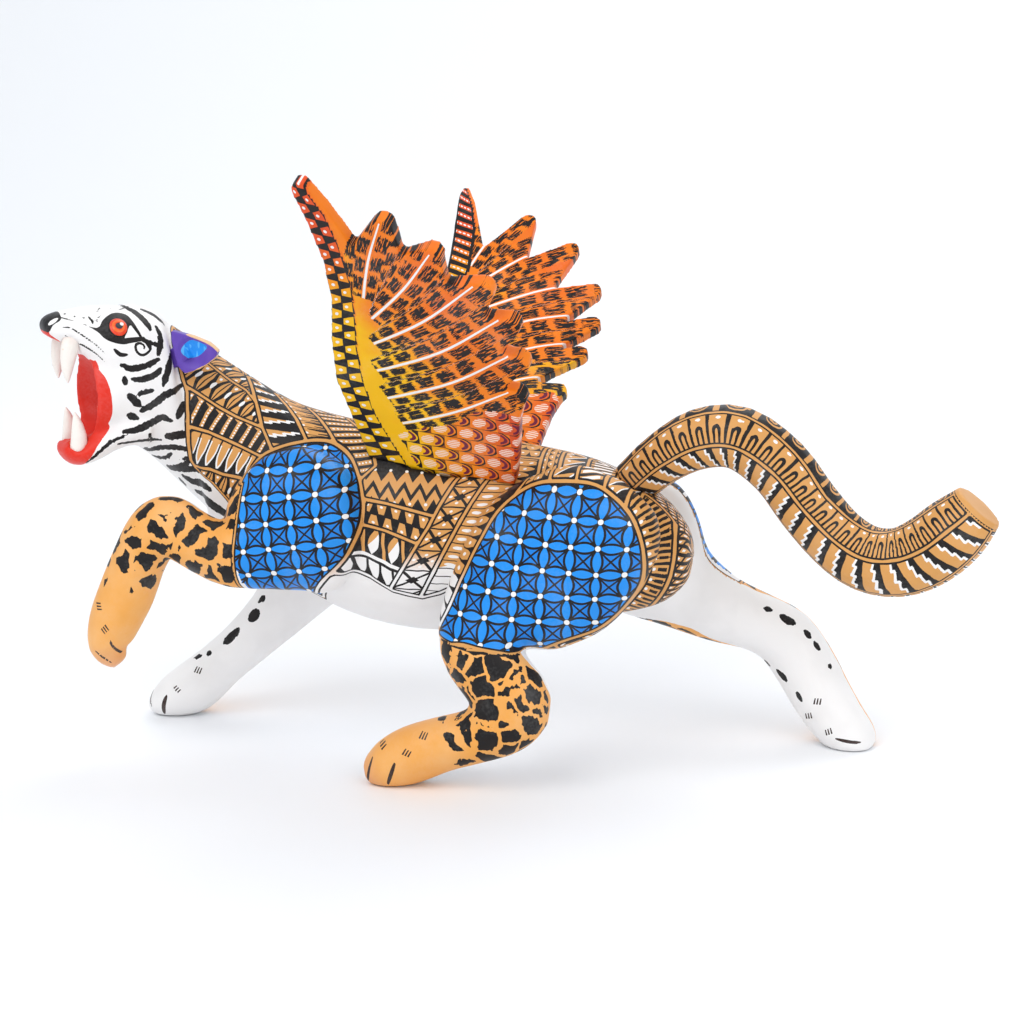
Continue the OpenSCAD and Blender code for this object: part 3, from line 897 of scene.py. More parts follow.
def leg_region(name, f, coat):
    """The coat of a leg, with its inner side and the distance from the toes."""
    toe, paw, inner_y = LEGS[name]
    away = np.linalg.norm(f.spots - toe, axis=1) - paw
    inner = f.spots[:, 1] - interp_inside(f.x, inner_y)
    return coat, leg_depth(name, f), -inner if name.endswith("right") else inner, away


def inner_side(name, f):
    """How deep a point is in the white inner side above a leg's coat."""
    if name.endswith("left"):
        return np.minimum(HAUNCH_ROOT - np.abs(f.side), 90 - f.z)
    line = interp_inside(f.x, LEGS[name][2]) - f.spots[:, 1]
    if name == "foreleg_right":
        return np.minimum(line, 80 - f.z)
    return np.maximum(line, interp_inside(f.x, LEG_AXIS) - f.z)


def side_tree(obj, fold=np.array):
    """Search tree of a piece in the coordinates that fold gives."""
    return BVHTree.FromPolygons(fold(points(obj.data)).tolist(),
                                corners(obj).reshape(-1, 4).tolist())


def mark_leg(obj, name):
    """Stores the distances outside the claw lines and the blots and from the toe, and the
    place of every corner in the group of ticks that lies nearest."""
    spots = points(obj.data)
    near = side_tree(obj)
    claws = np.minimum(stroke_depth(spots, CLAWS[name], near),
                       stroke_depth(mirrored(spots), CLAWS[name], side_tree(obj, mirrored)))
    blots = stroke_depth(spots, BLOTS.get(name, []), near)
    toe, _, inner_y = LEGS[name]
    toe = np.linalg.norm(spots - toe, axis=1)
    store(obj, "marks", np.stack([claws, blots, toe], 1)[corners(obj)])
    beyond_edge = spots[:, 1] > interp_inside(spots[:, 0], inner_y) + 3
    ticks = np.full((len(spots), 3), FAR_OFF)
    for x, z, slant in TICKS[name]:
        dx, dz = math.cos(math.radians(slant)), math.sin(math.radians(slant))
        ox, oz = spots[:, 0] - x, spots[:, 2] - z
        far = np.where(beyond_edge, np.hypot(ox, oz),
                       np.linalg.norm(spots - on_side(near, x, z)[0], axis=1))
        here = np.stack([ox * dx + oz * dz, oz * dx - ox * dz, far], 1)
        ticks = np.where((far < ticks[:, 2])[:, None], here, ticks)
    store(obj, "ticks", ticks[corners(obj)])


def mirrored(spots):
    return spots * np.array([1, -1, 1])


def make_body(materials):
    """Torso, head and legs, each a closed piece with the body's sanded skin."""
    skin = sand("skin", BODY_NODES + DOWELS, 1.2, 14)
    trunk = sand("trunk", ["torso", "head", "neck_dowel"], 1.2, 14)
    face, chest = side_tree(trunk, turned_to_head), side_tree(trunk)
    for name in BODY_NODES:
        obj = sand("carved_" + name, [name], 0.7 if name == "head" else 0.95, 3)
        blend_in(obj, skin)
        f = Figure(points(obj.data))
        regions = [(materials[n], d, u, v) for n, d, u, v in body_regions(f)]
        if "leg" in name:
            coat = leg_region(name, f, materials[name.split("_")[0]])
            inner = inner_side(name, f)
            regions = [(m, np.minimum(d, -inner), u, v) for m, d, u, v in regions]
            regions.append((materials["white_side"], inner, inner * 0, inner * 0))
            regions = [(m, np.minimum(d, -coat[1]), u, v) for m, d, u, v in regions] + [coat]
            mark_leg(obj, name)
        paint_by_region(obj, regions)
        fade = np.clip((FADE_TOP - f.g) / 8, 0, 1) * (f.x < 0) * (f.x > -90) * (f.z > 60)
        store(obj, "fade", np.repeat(fade[corners(obj)][:, None], 3, 1))
        mark_head(obj, face, chest)
        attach(obj, "body")
        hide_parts(name)
    make_eyes(face)
    bpy.data.objects.remove(skin)
    bpy.data.objects.remove(trunk)


# ---- head ----

HEAD_AT = CENTRE + np.array([-126.0, -4.0, 128.0])
HEAD_YAW = math.radians(40)

# Brush strokes on the left cheek and the throat, in the head's own frame:
# half width, then (x, z) places in millimetres. The right side mirrors them.
STRIPES = [
    (1.2, (-30.5, 45), (-27.5, 43), (-24.8, 40), (-23.5, 37)),
    (1.1, (-24, 43.6), (-20, 41.5), (-15.5, 37.5)),
    (0.9, (-26, 45.5), (-22, 44.6), (-17, 42)),
    (0.9, (-20.5, 37.5), (-20, 34.5), (-20.5, 31.5), (-22, 28)),
    (1.2, (-15, 29.5), (-17, 25.5), (-19, 21), (-21, 16.5)),
    (1.0, (-36, 24.5), (-32.5, 23), (-27.5, 24), (-22.5, 26)),
    (1.0, (-32.5, 19), (-28.5, 19), (-25, 20), (-21.5, 22.5)),
    (0.9, (-35.5, 19.5), (-35, 17.5)),
    (0.7, (-30.5, 13), (-28, 14), (-25, 14.5)),
    (1.3, (-34, 13), (-32, 11), (-30, 8.5)),
    (1.2, (-29, 6.5), (-25, 9), (-20, 12.5), (-12.5, 15)),
    (1.3, (-33.5, 5), (-30.5, 3.5)),
    (1.2, (-35.5, -1.5), (-30, -0.5), (-24.5, 2), (-21.5, 3.5), (-18, 2)),
    (1.6, (-15.5, 3.5), (-13.5, 6.5), (-11, 8)),
    (1.6, (-19, -4.5), (-16, -4), (-11, -3.5)),
    (0.7, (-37.5, -6.5), (-32, -6), (-27, -5.5), (-21, -6)),
    (0.5, (-49, -13.5), (-45, -9.5), (-40.5, -5.5), (-35, -3)),
    (1.1, (-25, -12), (-20.5, -9.5), (-15.5, -9), (-11, -10)),
    (0.8, (-24, -13), (-18.5, -14.5), (-16.5, -12)),
    (1.3, (-19, -18), (-14, -18.5), (-10.5, -15)),
    (1.0, (-13.5, -22.5), (-13, -25.5))]
# The same on the throat and the chest, as (x, z) in the frame of the body
THROAT_STROKES = [
    (1.6, (-131.5, 106.2), (-128, 104.2), (-122.5, 104.2), (-118.5, 102.8)),
    (1.0, (-134.5, 104.5), (-133, 101.5)),
    (1.9, (-127.5, 99.5), (-121, 97.8), (-115.5, 94.5), (-110, 92)),
    (1.3, (-120, 90), (-114, 86), (-108, 82)),
    (1.3, (-112, 79), (-106, 76), (-101, 74)),
    (1.2, (-110, 88), (-106, 84), (-102, 82))]
FINE_STROKES = [
    (0.32, (-56, 39), (-53, 38.5), (-47.5, 34.5), (-44, 31.5), (-41.5, 28.5)),
    (0.38, (-55.5, 36), (-51.5, 33.5), (-45.5, 29.5), (-41.5, 25.5)),
    (0.5, (-26.5, 33.5), (-24.5, 31), (-26, 29), (-28.5, 28), (-30.5, 29.5), (-30.5, 32),
     (-28.5, 32.5), (-27.2, 31), (-28.2, 29.9)),
    (0.8, (-38.5, 30.5), (-36.5, 28.5), (-34, 28.5)),
    (0.45, (-54, 43.5), (-53.6, 43.3)), (0.45, (-51, 42.7), (-50.6, 42.5)),
    (0.45, (-48, 42.2), (-47.6, 42)),
    (0.5, (-46, 42.5), (-45, 41), (-45, 40)),
    (0.32, (-41, 42.7), (-43, 41.7), (-43.5, 40.7), (-42.3, 41)),
    (0.35, (-42.5, 43.6), (-40, 45)), (0.35, (-33.5, 44), (-29.5, 44.6)),
    (0.3, (-38.5, 44.5), (-38.2, 44.5)), (0.3, (-36.5, 44.6), (-36.2, 44.6)),
    (0.3, (-34.5, 44.7), (-34.2, 44.7))]
EYE_AT = (-36.0, 38.5)
EYE_SURROUND = [(-56.5, 43), (-50, 41.2), (-44, 38.8), (-41.5, 41.3), (-38.5, 43), (-35, 43.7),
                (-31, 42.7), (-29.3, 40), (-28, 37), (-27, 34.7), (-24.5, 33.4), (-24, 31),
                (-25.5, 29.5), (-26.5, 31), (-28, 32.7), (-32, 32.4), (-35, 32), (-39.5, 33),
                (-42.2, 34.7), (-44.5, 37.2), (-50, 40.2), (-56, 41.8)]
EYE_CORNER = [(-34.5, 34.6), (-31.2, 39.4), (-28.6, 34.8)]
NOSTRIL = [(0.95, (-60.3, 40), (-59, 40.9), (-57.2, 42))]
NOSE = [(-70, 36), (-62.3, 37.2), (-60.6, 36.8), (-59.2, 39.6), (-56.4, 41.4), (-55.6, 43),
        (-56.5, 48), (-70, 50)]
LIPS = [(-75, 37.5), (-62, 38), (-60, 36), (-56, 33), (-51, 28.5), (-45.5, 24.5), (-42, 20),
        (-40.5, 15), (-39.8, 9), (-40.2, 3), (-42.5, -3), (-46, -8), (-49, -13), (-53, -18),
        (-75, -20)]


CHEEK = 12.5             # distance from the head's middle to the wall of the mouth, mm


def turned(spots, angle):
    """Points turned about the upright axis, counterclockwise seen from above."""
    c, s = math.cos(angle), math.sin(angle)
    return spots @ np.array([[c, s, 0], [-s, c, 0], [0, 0, 1]])


def turned_to_head(spots):
    """Points in the head's own frame, which faces -X."""
    return turned(spots - HEAD_AT, -HEAD_YAW)


def to_head(spots):
    """Points in the head's own frame with both sides folded onto the left one."""
    x, y, z = turned_to_head(spots).T
    return np.stack([x, -np.abs(y), z], 1)


def on_side(tree, x, z):
    """Place on the left side of a skin seen square from the left, and its normal."""
    place, normal, *_ = tree.ray_cast((x, -150.0, z), (0, 1, 0))
    if place is None:
        place, normal, *_ = tree.find_nearest((x, -40.0, z))
    return np.array(place), np.array(normal)


def stroke_depth(spots, strokes, tree):
    """Distance outside the nearest brush stroke; a stroke thins towards its ends."""
    best = np.full(len(spots), FAR_OFF)
    for half, *line in strokes:
        line = open_spline(line, 4)
        steps = max(2, int(np.abs(np.diff(line, axis=0)).sum() / 1.5))
        at = np.linspace(0, len(line) - 1, steps + 1)
        xs, zs = [np.interp(at, range(len(line)), line[:, k]) for k in (0, 1)]
        path = [on_side(tree, x, z)[0] for x, z in zip(xs, zs)]
        for k, (a, b) in enumerate(zip(path, path[1:])):
            ab = b - a
            t = np.clip(((spots - a) @ ab) / (ab @ ab + 1e-9), 0, 1)
            far = np.linalg.norm(spots - a - t[:, None] * ab, axis=1)
            along = (k + t) / steps * 2 - 1
            best = np.minimum(best, far - half * (1 - 0.5 * np.abs(along) ** 3))
    return best


def mark_head(obj, face, chest):
    """Stores how far every face corner lies outside each painted mark of the head, and how much
    painted shade darkens the red deep inside the mouth.
    """
    body, index = points(obj.data), corners(obj)
    spots = to_head(body)
    x, y, z = spots.T
    body[:, 1] = CENTRE[1] - np.abs(body[:, 1] - CENTRE[1])
    stripes = np.minimum(stroke_depth(spots, STRIPES, face),
                         stroke_depth(body, THROAT_STROKES, chest))
    fine = stroke_depth(spots, FINE_STROKES, face)
    inward = np.clip((CHEEK + y) / 3, 0, 1) * 9
    surround, nose = [outside(rounded(shape, 3), x, z)[0] for shape in (EYE_SURROUND, NOSE)]
    lips = outside(rounded(LIPS, 3), x - inward * (z < 26) * (z > -8), z)[0]
    corner = np.minimum(outside(EYE_CORNER, x, z)[0], stroke_depth(spots, NOSTRIL, face))
    store(obj, "strokes", np.stack([stripes, fine, surround], 1)[index])
    store(obj, "face", np.stack([lips, nose, corner], 1)[index])
    # Painted shade: the mouth's red darkens deep inside it, away from the lips and towards the
    # middle.
    shade = np.clip((x + 52) / 16, 0, 1) * np.clip((24 - np.abs(z - 10)) / 16, 0, 1)
    deep = np.clip((CHEEK + y) / 6, 0, 1) * shade * (lips < -1.5)
    store(obj, "throat", np.repeat(deep[:, None], 3, 1)[index])


def tiger_material():
    """White coat with ragged black strokes, the eye surround, the nose and the red mouth with
    painted shade deep inside it.
    """
    p = Paint("tiger_coat", WHITE)
    stripes, fine, surround = p.chart("strokes")
    lips, nose, corner = p.chart("face")
    deep = p.chart("throat")[0]
    edge = p.chart()[2]
    ragged, soft = p.noise(750, 2, (1, 1, 0.4)), p.noise(220, 1)
    p.lay((p.noise(45, 2) * 0.8).positive(), colour("E4DADB"))
    p.lay((stripes + ragged * 1.5) < 0.25, BLACK)
    p.lay((fine + soft * 0.25) < 0.0, BLACK)
    p.lay((surround + soft * 0.35) < -0.35, BLACK)
    p.lay((lips + soft * 0.5) < 0.0, RED)
    # Painted shade deep inside the mouth, in a darker red.
    p.lay(deep * (soft * 0.6 + 0.3), RED_PAINTED_SHADE)
    p.lay((nose + soft * 0.4) < 0.0, colour("1E1D20"))
    p.lay((corner + soft * 0.2) < 0.0, WHITE)
    p.border(abs(edge + soft * 0.5), 1.0, 0.5)
    return p.done(0.4)


def dome(name, radius_x, radius_z, height, rings=14, sides=48):
    """Closed lens with its back flat; x and z across, y negative outwards."""
    work = bmesh.new()
    tip = work.verts.new((0, -height * MM, 0))
    back = work.verts.new((0, 0.8 * MM, 0))
    rows = [[work.verts.new((radius_x * math.sin(a) * math.cos(t) * MM, -height * math.cos(a) * MM,
                             radius_z * math.sin(a) * math.sin(t) * MM))
             for t in np.arange(sides) * 2 * math.pi / sides]
            for a in np.arange(1, rings + 1) * math.pi / 2 / rings]
    for k in range(sides):
        m = (k + 1) % sides
        work.faces.new((tip, rows[0][m], rows[0][k]))
        for low, high in zip(rows, rows[1:]):
            work.faces.new((low[k], low[m], high[m], high[k]))
        work.faces.new((rows[-1][k], rows[-1][m], back))
    bmesh.ops.recalc_face_normals(work, faces=work.faces)
    obj = to_object(name, work)
    shade_smooth(obj.data)
    return obj


def eye_material():
    """Red iris with an orange ring, dark pupil and a painted white glint."""
    p = Paint("eye_paint", colour("E2411F"))
    x, _, z = p.chart("eye")
    iris = (x * x + z * z * 0.74).root()
    p.lay((iris + p.noise(900, 2) * 0.5).between(1.5, 2.4), colour("F06A2C"))
    p.lay(iris > 3.35, BLACK)
    p.lay(disc(x - 0.2, z, 1.4), colour("3A3A40"))
    p.lay(disc(x - 1.3, z - 0.75, 0.75), WHITE)
    return p.done(0.18, 0.2)


def make_eyes(tree):
    """A dome set into each eye socket, on the skin of the head's left side and mirrored."""
    material = eye_material()
    place, normal = on_side(tree, *EYE_AT)
    out = normal / np.linalg.norm(normal)
    across = np.cross((0, 0, 1.0), out)
    across /= np.linalg.norm(across)
    axes = np.array([across, -out, np.cross(out, across)])
    for name in ("eye_left", "eye_right"):
        obj = dome(name, 3.8, 4.2, 1.7)
        local = points(obj.data)
        store(obj, "eye", local[corners(obj)])
        spots = place + local @ axes - out * 0.5
        if name == "eye_right":
            spots = mirrored(spots)
            obj.data.flip_normals()
        set_points(obj, turned(spots, HEAD_YAW) + HEAD_AT)
        obj.data.materials.append(material)
        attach(obj, "body")


# ---- ears and fangs ----

EAR_AT = (-12, -18.5, 28)        # where the left ear stands in the head's own frame, mm
EAR_TURN = math.radians(32)


def make_ears():
    """Ears: purple with a pale blue hollow and a tan rim."""
    p = Paint("ear_paint", PURPLE)
    _, blue, rim = p.chart("ear")
    soft = p.noise(300, 2)
    hollow = (blue + soft * 0.8) < 0.0
    p.lay((p.noise(120, 3, (1, 1, 0.3)) + 0.05) * 1.4, colour("7A5BC4"))
    p.lay(hollow, BLUE_LIGHT)
    p.lay(hollow & (p.noise(500, 1, (1, 1, 0.2)) > 0.13), colour("57B4F5"))
    p.lay((rim + soft * 0.5) > 0.0, TAN_LIGHT)
    material = p.done(0.36)
    blue_patch = rounded([(-0.5, 1), (2.5, 4.6), (6, 4.6), (9.6, 3), (9, 1), (4.5, -1.8),
                          (1, -1)])
    outline = rounded([(-6, 10), (4, 7), (10.5, 4.5), (14.6, 1), (13.4, -2.3), (7, -6.4),
                       (1, -8.6), (-6, -8)])
    for node in ("ear_left", "ear_right"):
        obj = sand("painted_" + node, [node], 0.35, 5)
        x, depth, z = turned(to_head(points(obj.data)) - EAR_AT, EAR_TURN).T
        blue = np.maximum(outside(blue_patch, x, z)[0], depth * 2 + 1)
        rim = outside(outline, x, z)[0] + 0.9
        store(obj, "ear", np.stack([x, blue, rim], 1)[corners(obj)])
        obj.data.materials.append(material)
        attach(obj, node)
        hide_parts(node)


def make_fangs():
    """Ivory fangs with painted pink shade towards the root and fine lengthwise marks."""
    p = Paint("fang_paint", IVORY)
    tip = p.chart("fang")[2]
    # Painted shade: pink towards the root of each fang, where it meets the mouth.
    p.lay((tip * -0.35 + p.noise(150, 2) * 0.6) - 0.35, PINK_PAINTED_SHADE)
    p.lay((p.noise(420, 2, (1, 1, 0.15)) - 0.08) * 2.0, colour("E4D3C4"))
    material = p.done(0.28, 0.6)
    for node in ("upper_fang_left", "upper_fang_right", "lower_fang_left", "lower_fang_right"):
        obj = sand("painted_" + node, [node], 0.3, 4)
        x, y, z = points(obj.data).T
        tip = (z - z.max() if "lower" in node else z.min() - z) / 6 + 1.6
        store(obj, "fang", np.stack([x, y, tip], 1)[corners(obj)])
        obj.data.materials.append(material)
        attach(obj, "body")
        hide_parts(node)


# ---- tail ----

TAIL_PATH = [(36, 101), (44, 109), (55, 119), (69, 127), (84, 128), (99, 118), (110, 104),
             (121, 92), (132, 85), (144, 84), (155, 89), (165, 98), (173, 107), (180, 118)]
# Painted lines along the tail as (distance along it, degrees up from its side)
TAIL_UPPER = [(0, 48), (30, 58), (55, 58), (95, 50), (135, 78), (160, 70), (190, 66)]
TAIL_LOWER = [(0, -8), (30, -10), (55, -8), (95, 2), (135, 16), (160, 12), (190, 4)]
TAIL_UNDER = [(0, -66), (60, -72), (110, -62), (150, -56), (190, -52)]
TAIL_CAP = (167.2, 109.2)        # a place on the edge of the plain cut end, as (x, z)
TAIL_DEGREE = 12.2 * math.pi / 180       # mean length of a degree round the tail, mm


def tail_place(spots):
    """Distance along the tail, and degrees up from its side, for points in mm."""
    _, along, up = nearest(spots[:, [0, 2]], open_spline(TAIL_PATH, 8))
    return along, np.degrees(np.arctan2(up, np.abs(spots[:, 1] - CENTRE[1])))


def make_tail():
    """Tail with bands along it, from the curls on its top to the petals underneath."""
    obj = sand("painted_tail", ["tail"], 0.8, 6)
    x, _, z = points(obj.data).T
    s, up = tail_place(points(obj.data))
    upper, lower, under = [interp_inside(s, line) for line in
                           (TAIL_UPPER, TAIL_LOWER, TAIL_UNDER)]
    cap = -((x - TAIL_CAP[0]) * 0.65 + (z - TAIL_CAP[1]) * 0.76)
    table = []
    for name, pattern, pitch, width, high, low, v in (
            ("spirals", spirals, 10.0, 10, 999, upper, 0.5 + (90 - up) / 70),
            ("arches", arches, 6.0, 12, upper, lower, (upper - up) / (upper - lower)),
            ("frets", slanted_frets, 6.8, 12, lower, under, (lower - up) / (lower - under)),
            ("petals", hanging_petals, 3.6, 5, under, -999, (under - up) / (under + 90) * 0.8)):
        depth = least((high - up) * TAIL_DEGREE, (up - low) * TAIL_DEGREE, cap)
        table.append((band_material("tail_" + name, pattern, pitch, width), depth, s / pitch, v))
    end_grain = band_material("tail_cap", plain, ground=OCHRE, line=BLACK)
    paint_by_region(obj, table + [(end_grain, -cap * 4, s, s)])
    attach(obj, "tail")
    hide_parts("tail")


# ---- wings ----

PATCH_ROW = 4.7          # width of a row of dark patches 30 mm along a feather, mm
PATCH_LENGTH = 7.4       # length of a patch and its gap at the root of a feather, mm
PATCH_GROWTH = 0.0125    # how much longer they grow, per mm
FEATHER_HALF = 8.8       # half of the greatest width of a painted feather, mm
QUILL_ROOT = 30.0        # length that a quill is carried on past both ends, mm
BAND_PITCH = 6.9         # length of a trapezoid's cell on the leading band, mm
WINGS = {
    "left": {
        "side": -1, "splay": 34,
        "quills": [[(-29.5, 99), (-21.5, 119), (-12.5, 136)], [(-30, 90), (-11.5, 106.5),
                   (3, 123)], [(-33, 78.5), (-7.5, 92), (16, 109.5)], [(-35.5, 65.5),
                   (-5, 77.5), (22, 94.5)], [(-35, 52), (-4, 63), (21.5, 77.5)],
                   [(-32.5, 39.5), (-6, 48.5), (17.5, 60)]],
        "outer": [(20, -50), (34, -50.5), (60, -52), (80, -48), (100, -42), (118, -40),
                  (134, -41), (149, -43)],
        "inner": [(4, -31), (25, -36), (35, -38.5), (45, -40.5), (61, -40.5), (76, -38.5),
                  (91, -35), (106, -32), (125, -31.5), (138, -33), (149, -37)],
        "scales": [(-34, 30), (-31.5, 35), (-22.5, 38.5), (-15.5, 40), (-7, 43), (1, 48.5),
                   (13, 49), (24, 40), (16, 0), (-36, 0)]},
    "right": {
        "side": 1, "splay": 44,
        "quills": [[(-30.5, 104), (-22, 121.5), (-11, 136)], [(-27, 96), (-8, 110.5),
                   (9, 119)], [(-27, 82), (-1.5, 93), (20, 98.5)], [(-27, 69), (-3, 78.5),
                   (20, 82.5)], [(-26, 55), (-2, 64.5), (16, 68)], [(-22, 43), (-1.5, 50),
                   (9, 50.5)]],
        "outer": [(20, -50), (34, -50), (60, -50), (80, -45), (100, -39.5), (118, -38.5),
                  (144, -38)],
        "inner": [(4, -34), (25, -38), (61, -40), (80, -35.5), (91, -32.5), (106, -29.5),
                  (125, -29), (138, -31.5), (149, -35.5)],
        "scales": [(-34, 26), (-24, 31), (-12, 37), (-5, 41), (3, 42.5), (12, 40), (16, 0),
                   (-36, 0)]}}


def wing_axes(wing):
    """Directions of u to the rear, w up along the wing and n through it, as rows."""
    side, a, s = wing["side"], math.radians(wing["side"] * 8), math.radians(wing["splay"])
    out = np.array([-math.sin(a), math.cos(a), 0]) * side
    up = np.array([0, 0, 1.0])
    return np.array([(math.cos(a), math.sin(a), 0), out * math.sin(s) + up * math.cos(s),
                     out * math.cos(s) - up * math.sin(s)])


def feather_place(spots, wing):
    """Nearest feather: its number, distance along its quill and across it."""
    found = []
    for quill in wing["quills"]:
        path = open_spline(quill, 6)
        first, last = path[1] - path[0], path[-1] - path[-2]
        found.append(nearest(spots, np.vstack([
            path[0] - first / np.hypot(*first) * QUILL_ROOT, path,
            path[-1] + last / np.hypot(*last) * QUILL_ROOT])))
    found = np.array(found)
    number = found[:, 0].argmin(0)
    _, along, across = found[number, :, np.arange(len(spots))].T
    return number, along - QUILL_ROOT, across


def warm_ground(p, warm):
    """Yellow to orange to vermilion, blended in streaks."""
    warm = warm + p.noise(70, 3) * 0.6
    p.lay((warm * 2.6 - 0.2).positive(), ORANGE)
    p.lay((warm * 1.4 - 0.85).positive(), VERMILION)


def quill_material():
    """Feathers: rows of brushed dark patches beside a white quill."""
    p = Paint("wing_feathers", YELLOW)
    along, across, _ = p.chart()
    warm, length, tip = p.chart("warmth")
    c = abs(across)
    warm_ground(p, warm + (c - 3.0) * -0.03 - (tip - 0.7).positive() * 0.9)
    streak = p.add("CombineXYZ", X=across * 2.6, Y=along * 0.28 + across * 0.12, Z=length * 0.1)
    hair = p.add("TexNoise", Scale=1.0, Detail=2.0, Vector=streak.outputs[0])
    ragged = Value(hair.outputs[0]) - 0.5
    blur = p.noise(260, 2)
    row = (c - 0.9) * (1.0 / PATCH_ROW)
    cells = length + row.floor() * 0.46 + (across > 0.0) * 0.33 + ragged * 0.5
    patch = abs(cell(cells)) + blur * 0.25 < 0.37
    patch &= abs(cell(row)) + ragged * 0.22 + blur * 0.3 < 0.45
    patch &= (along > 2.0) & row.between(0.0, 2.0)
    p.lay(patch & (ragged + warm * 0.12 < 0.17), BLACK)
    p.raised((c < 0.72 - tip * 0.5) & (along > 0.0) & (tip < 1.0))
    return p.done(0.38)


def wing_band_material(name, chevrons):
    """Leading band: two rows of dotted trapezoids on black, or dotted strokes."""
    p = Paint(name, BLACK)
    u, v, edge = p.chart()
    warm = p.chart("warmth")[0]
    shake = p.noise(150, 1.0, three=True)
    u, v = u + shake[0] * 0.1, v + shake[1] * 0.06
    if chevrons:
        s = (u * 1.5 + v * 0.9).fract()
        shape = (s < 0.46 + v * 0.1) & v.between(0.12, 0.86)
        dots = disc((s - 0.24) * 4.2, ((v * 5.0).fract() - 0.5) * 1.2, 0.42) & shape
    else:
        rows = v * 2.0
        inner = rows > 1.0
        c, y = cell(u + inner * 0.5), rows.fract()
        slant = pick(inner, 0.2 + y * 0.16, 0.4 - y * 0.2)
        shape = (abs(c) < slant) & y.between(0.08, 0.92) & (v < 0.96)
        dots = disc(c * BAND_PITCH, (y + inner * 0.12 - 0.5) * 4.5, 0.66)
    p.lay(shape, YELLOW)
    p.lay(shape & (warm * 2.2 - 0.9).positive(), ORANGE)
    p.lay(shape & (warm * 3.0 - 1.9).positive(), VERMILION)
    p.raised(dots)
    p.lay(abs(edge) < 0.5, BLACK)
    return p.done(0.38)


def scale_material():
    """Overlapping scales, round to the rear, with plum crescents and white strokes."""
    p = Paint("wing_scales", YELLOW)
    u, v, _ = p.chart()
    warm = p.chart("warmth")[0]
    warm_ground(p, warm)
    p.lay((warm * 1.5 - 0.8).positive(), colour("CC3A20"))
    shake = p.noise(140, 1.0, three=True)
    u, v = u + shake[0] * 0.14, v + shake[1] * 0.2
    c, y = (u + v.floor() * 0.46).fract(), v.fract() - 0.5
    bend = (c - 0.45).positive() * 1.9
    far = (bend * bend + y * y * 3.9).root()
    p.lay(far.between(0.55, 0.82) & (bend > 0.3), PLUM)
    p.lay(far > 0.95, BLACK)
    p.lay((far > 1.12) & (warm * 1.4 - 0.1).positive(), ORANGE)
    strokes = ((y * 7.0 + 0.2).fract() < 0.6) & disc(c - 0.34 - y * 0.2, y * 0.8, 0.25)
    p.lay(strokes, colour("F6DCCB"))
    return p.done(0.38)


def margin_material():
    """Plain ground of the wing between the feathers and the leading band."""
    p = Paint("wing_margin", YELLOW)
    warm_ground(p, p.chart("warmth")[0])
    return p.done(0.4)


def make_wings():
    """Wings with a leading band, feathers that bulge a little, and scales at the root."""
    feathers, scale_paint, margin_paint = quill_material(), scale_material(), margin_material()
    bands = {"left": wing_band_material("wing_band", False),
             "right": wing_band_material("wing_spike", True)}
    for name, wing in WINGS.items():
        obj = sand("painted_wing_" + name, ["wing_" + name], 0.75, 4)
        spots = points(obj.data)
        axes = wing_axes(wing)
        u, w, n = axes @ (spots - CENTRE - (0, wing["side"] * 13.0, 102.0)).T
        number, along, across = feather_place(np.stack([u, w], 1), wing)
        outer, inner = interp_inside(w, wing["outer"]), interp_inside(w, wing["inner"])
        band = inner - u
        scales = outside(rounded(wing["scales"], 4), u, w)[0]
        aside = np.abs(across) - FEATHER_HALF
        margin = np.minimum(np.maximum(2.5 - along, aside), scales)
        spread = np.clip(0.7 + 0.011 * along, 0.7, 1.6)
        tilt = math.radians(-8)
        su = (u * math.cos(tilt) + w * math.sin(tilt)) / 10.4
        sv = (w * math.cos(tilt) - u * math.sin(tilt)) / 6.6
        paint_by_region(obj, [
            (feathers, least(-band, scales, along - 2.5, -aside), along, across / spread),
            (scale_paint, least(-scales, -band - 4.5), su, sv),
            (margin_paint, np.minimum(-band, margin), along, across),
            (margin_paint, least(-band, -scales, band + 4.5), along, across),
            (bands[name], band, w / BAND_PITCH, (u - outer) / (inner - outer))])
        warm = np.clip((u + 34) / 56 * 0.85 + (w - 62) / 100 * 0.8, 0, 1)
        warm = np.where(scales < 0, np.clip((u + 30) / 46, 0, 1), warm)
        warm = np.where(band > -0.5, np.clip((w - 60) / 70, 0, 1), warm)
        length = (np.log1p(np.clip(along, -5, 99) * PATCH_GROWTH) / (PATCH_GROWTH * PATCH_LENGTH)
                  + number * 0.37)
        full = np.array([np.hypot(*np.diff(quill, axis=0).T).sum() for quill in wing["quills"]])
        store(obj, "warmth", np.stack([warm, length, along / full[number]], 1)[corners(obj)])
        crown = np.cos(np.clip(across / 6.0, -1, 1) * math.pi / 2) ** 2 * 0.45
        crown *= np.clip(along / 8, 0, 1) * (scales > 0) * (band < 0) * (np.abs(n) > 1.2)
        set_points(obj, spots + (np.sign(n) * crown)[:, None] * axes[2])
        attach(obj, "wing_" + name)
        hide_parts("wing_" + name)


def wood_dowels():
    """Bare wood with grain for the dowels, which stay as they are in the CAD model."""
    p = Paint("bare_wood", colour("D9B98C"))
    p.lay((p.noise(60, 3, (1, 0.12, 1)) + 0.1) * 1.6, colour("B98F5E"))
    p.lay((p.noise(420, 2, (1, 0.05, 1)) - 0.05) * 2.0, colour("8E6A43"))
    material = p.done(0.6)
    for name in DOWELS:
        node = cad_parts[name]
        for slot in node.material_slots:
            slot.material = material
        if not node.material_slots:
            node.data.materials.append(material)


# ---- stage ----

def aim_at(holder, place, target):
    """Puts a lamp or a camera at a place and turns it towards a target, in metres."""
    holder.location = place
    holder.rotation_euler = Vector(target - place).to_track_quat("-Z", "Y").to_euler()


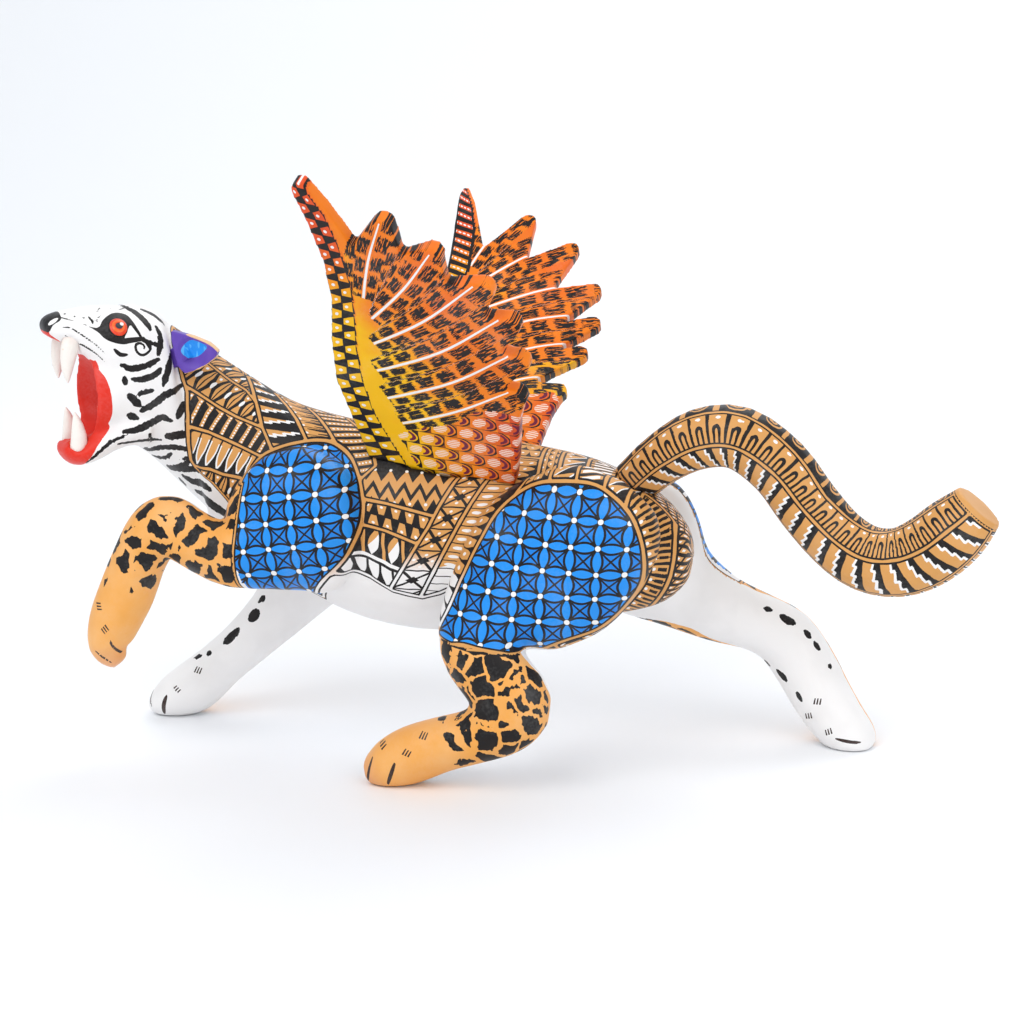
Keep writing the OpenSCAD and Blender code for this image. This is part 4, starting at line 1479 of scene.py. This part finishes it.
def make_stage():
    """Pale floor that curves up behind, and soft light."""
    profile = [(-20.0, 0.0), (1.0, 0.0)]
    profile += [(1.0 + math.sin(a) * 0.6, 0.6 - math.cos(a) * 0.6)
                for a in np.linspace(0.1, math.pi / 2, 12)]
    profile.append((1.6, 3.0))
    work = bmesh.new()
    rows = [[work.verts.new((x, y, z - 0.0002)) for x in (-20.0, 20.0)]
            for y, z in profile]
    for low, high in zip(rows, rows[1:]):
        work.faces.new((low[0], low[1], high[1], high[0]))
    floor = to_object("floor", work)
    shade_smooth(floor.data)
    material = bpy.data.materials.new("floor_paper")
    material.use_nodes = True
    shader = material.node_tree.nodes["Principled BSDF"]
    shader.inputs["Base Color"].default_value = colour("F6F8FB")
    shader.inputs["Roughness"].default_value = 0.6
    floor.data.materials.append(material)

    world = bpy.data.worlds.new("studio")
    world.use_nodes = True
    sky = world.node_tree.nodes["Background"]
    sky.inputs["Color"].default_value = (0.96, 0.98, 1.0, 1)
    sky.inputs["Strength"].default_value = 0.72
    bpy.context.scene.world = world
    for name, place, power in (("key", (-0.5, -1.2, 1.5), 13), ("fill", (1.3, -1.0, 1.0), 7),
                               ("back", (0.2, 1.1, 1.6), 9)):
        lamp = bpy.data.lights.new(name, "AREA")
        lamp.energy = power
        lamp.size = 1.2
        aim_at(link(name, lamp), place, CENTRE * MM + (0, 0, 0.09))


def make_camera():
    """Camera on the figure's left, a little to the rear and slightly above."""
    azimuth, elevation, distance = math.radians(15), math.radians(12), 0.930
    target = np.array([CENTRE[0], CENTRE[1], 95.0]) * MM
    back = np.array([math.sin(azimuth) * math.cos(elevation),
                     -math.cos(azimuth) * math.cos(elevation), math.sin(elevation)])
    lens = bpy.data.cameras.new("camera")
    lens.sensor_width = 36
    lens.lens = 84.9
    lens.clip_start = 0.01
    camera = link("camera", lens)
    aim_at(camera, target + back * distance, target)
    bpy.context.scene.camera = camera


bpy.context.scene.view_settings.view_transform = "Standard"
make_stage()
make_camera()
make_body(make_materials())
make_ears()
make_fangs()
make_tail()
make_wings()
wood_dowels()
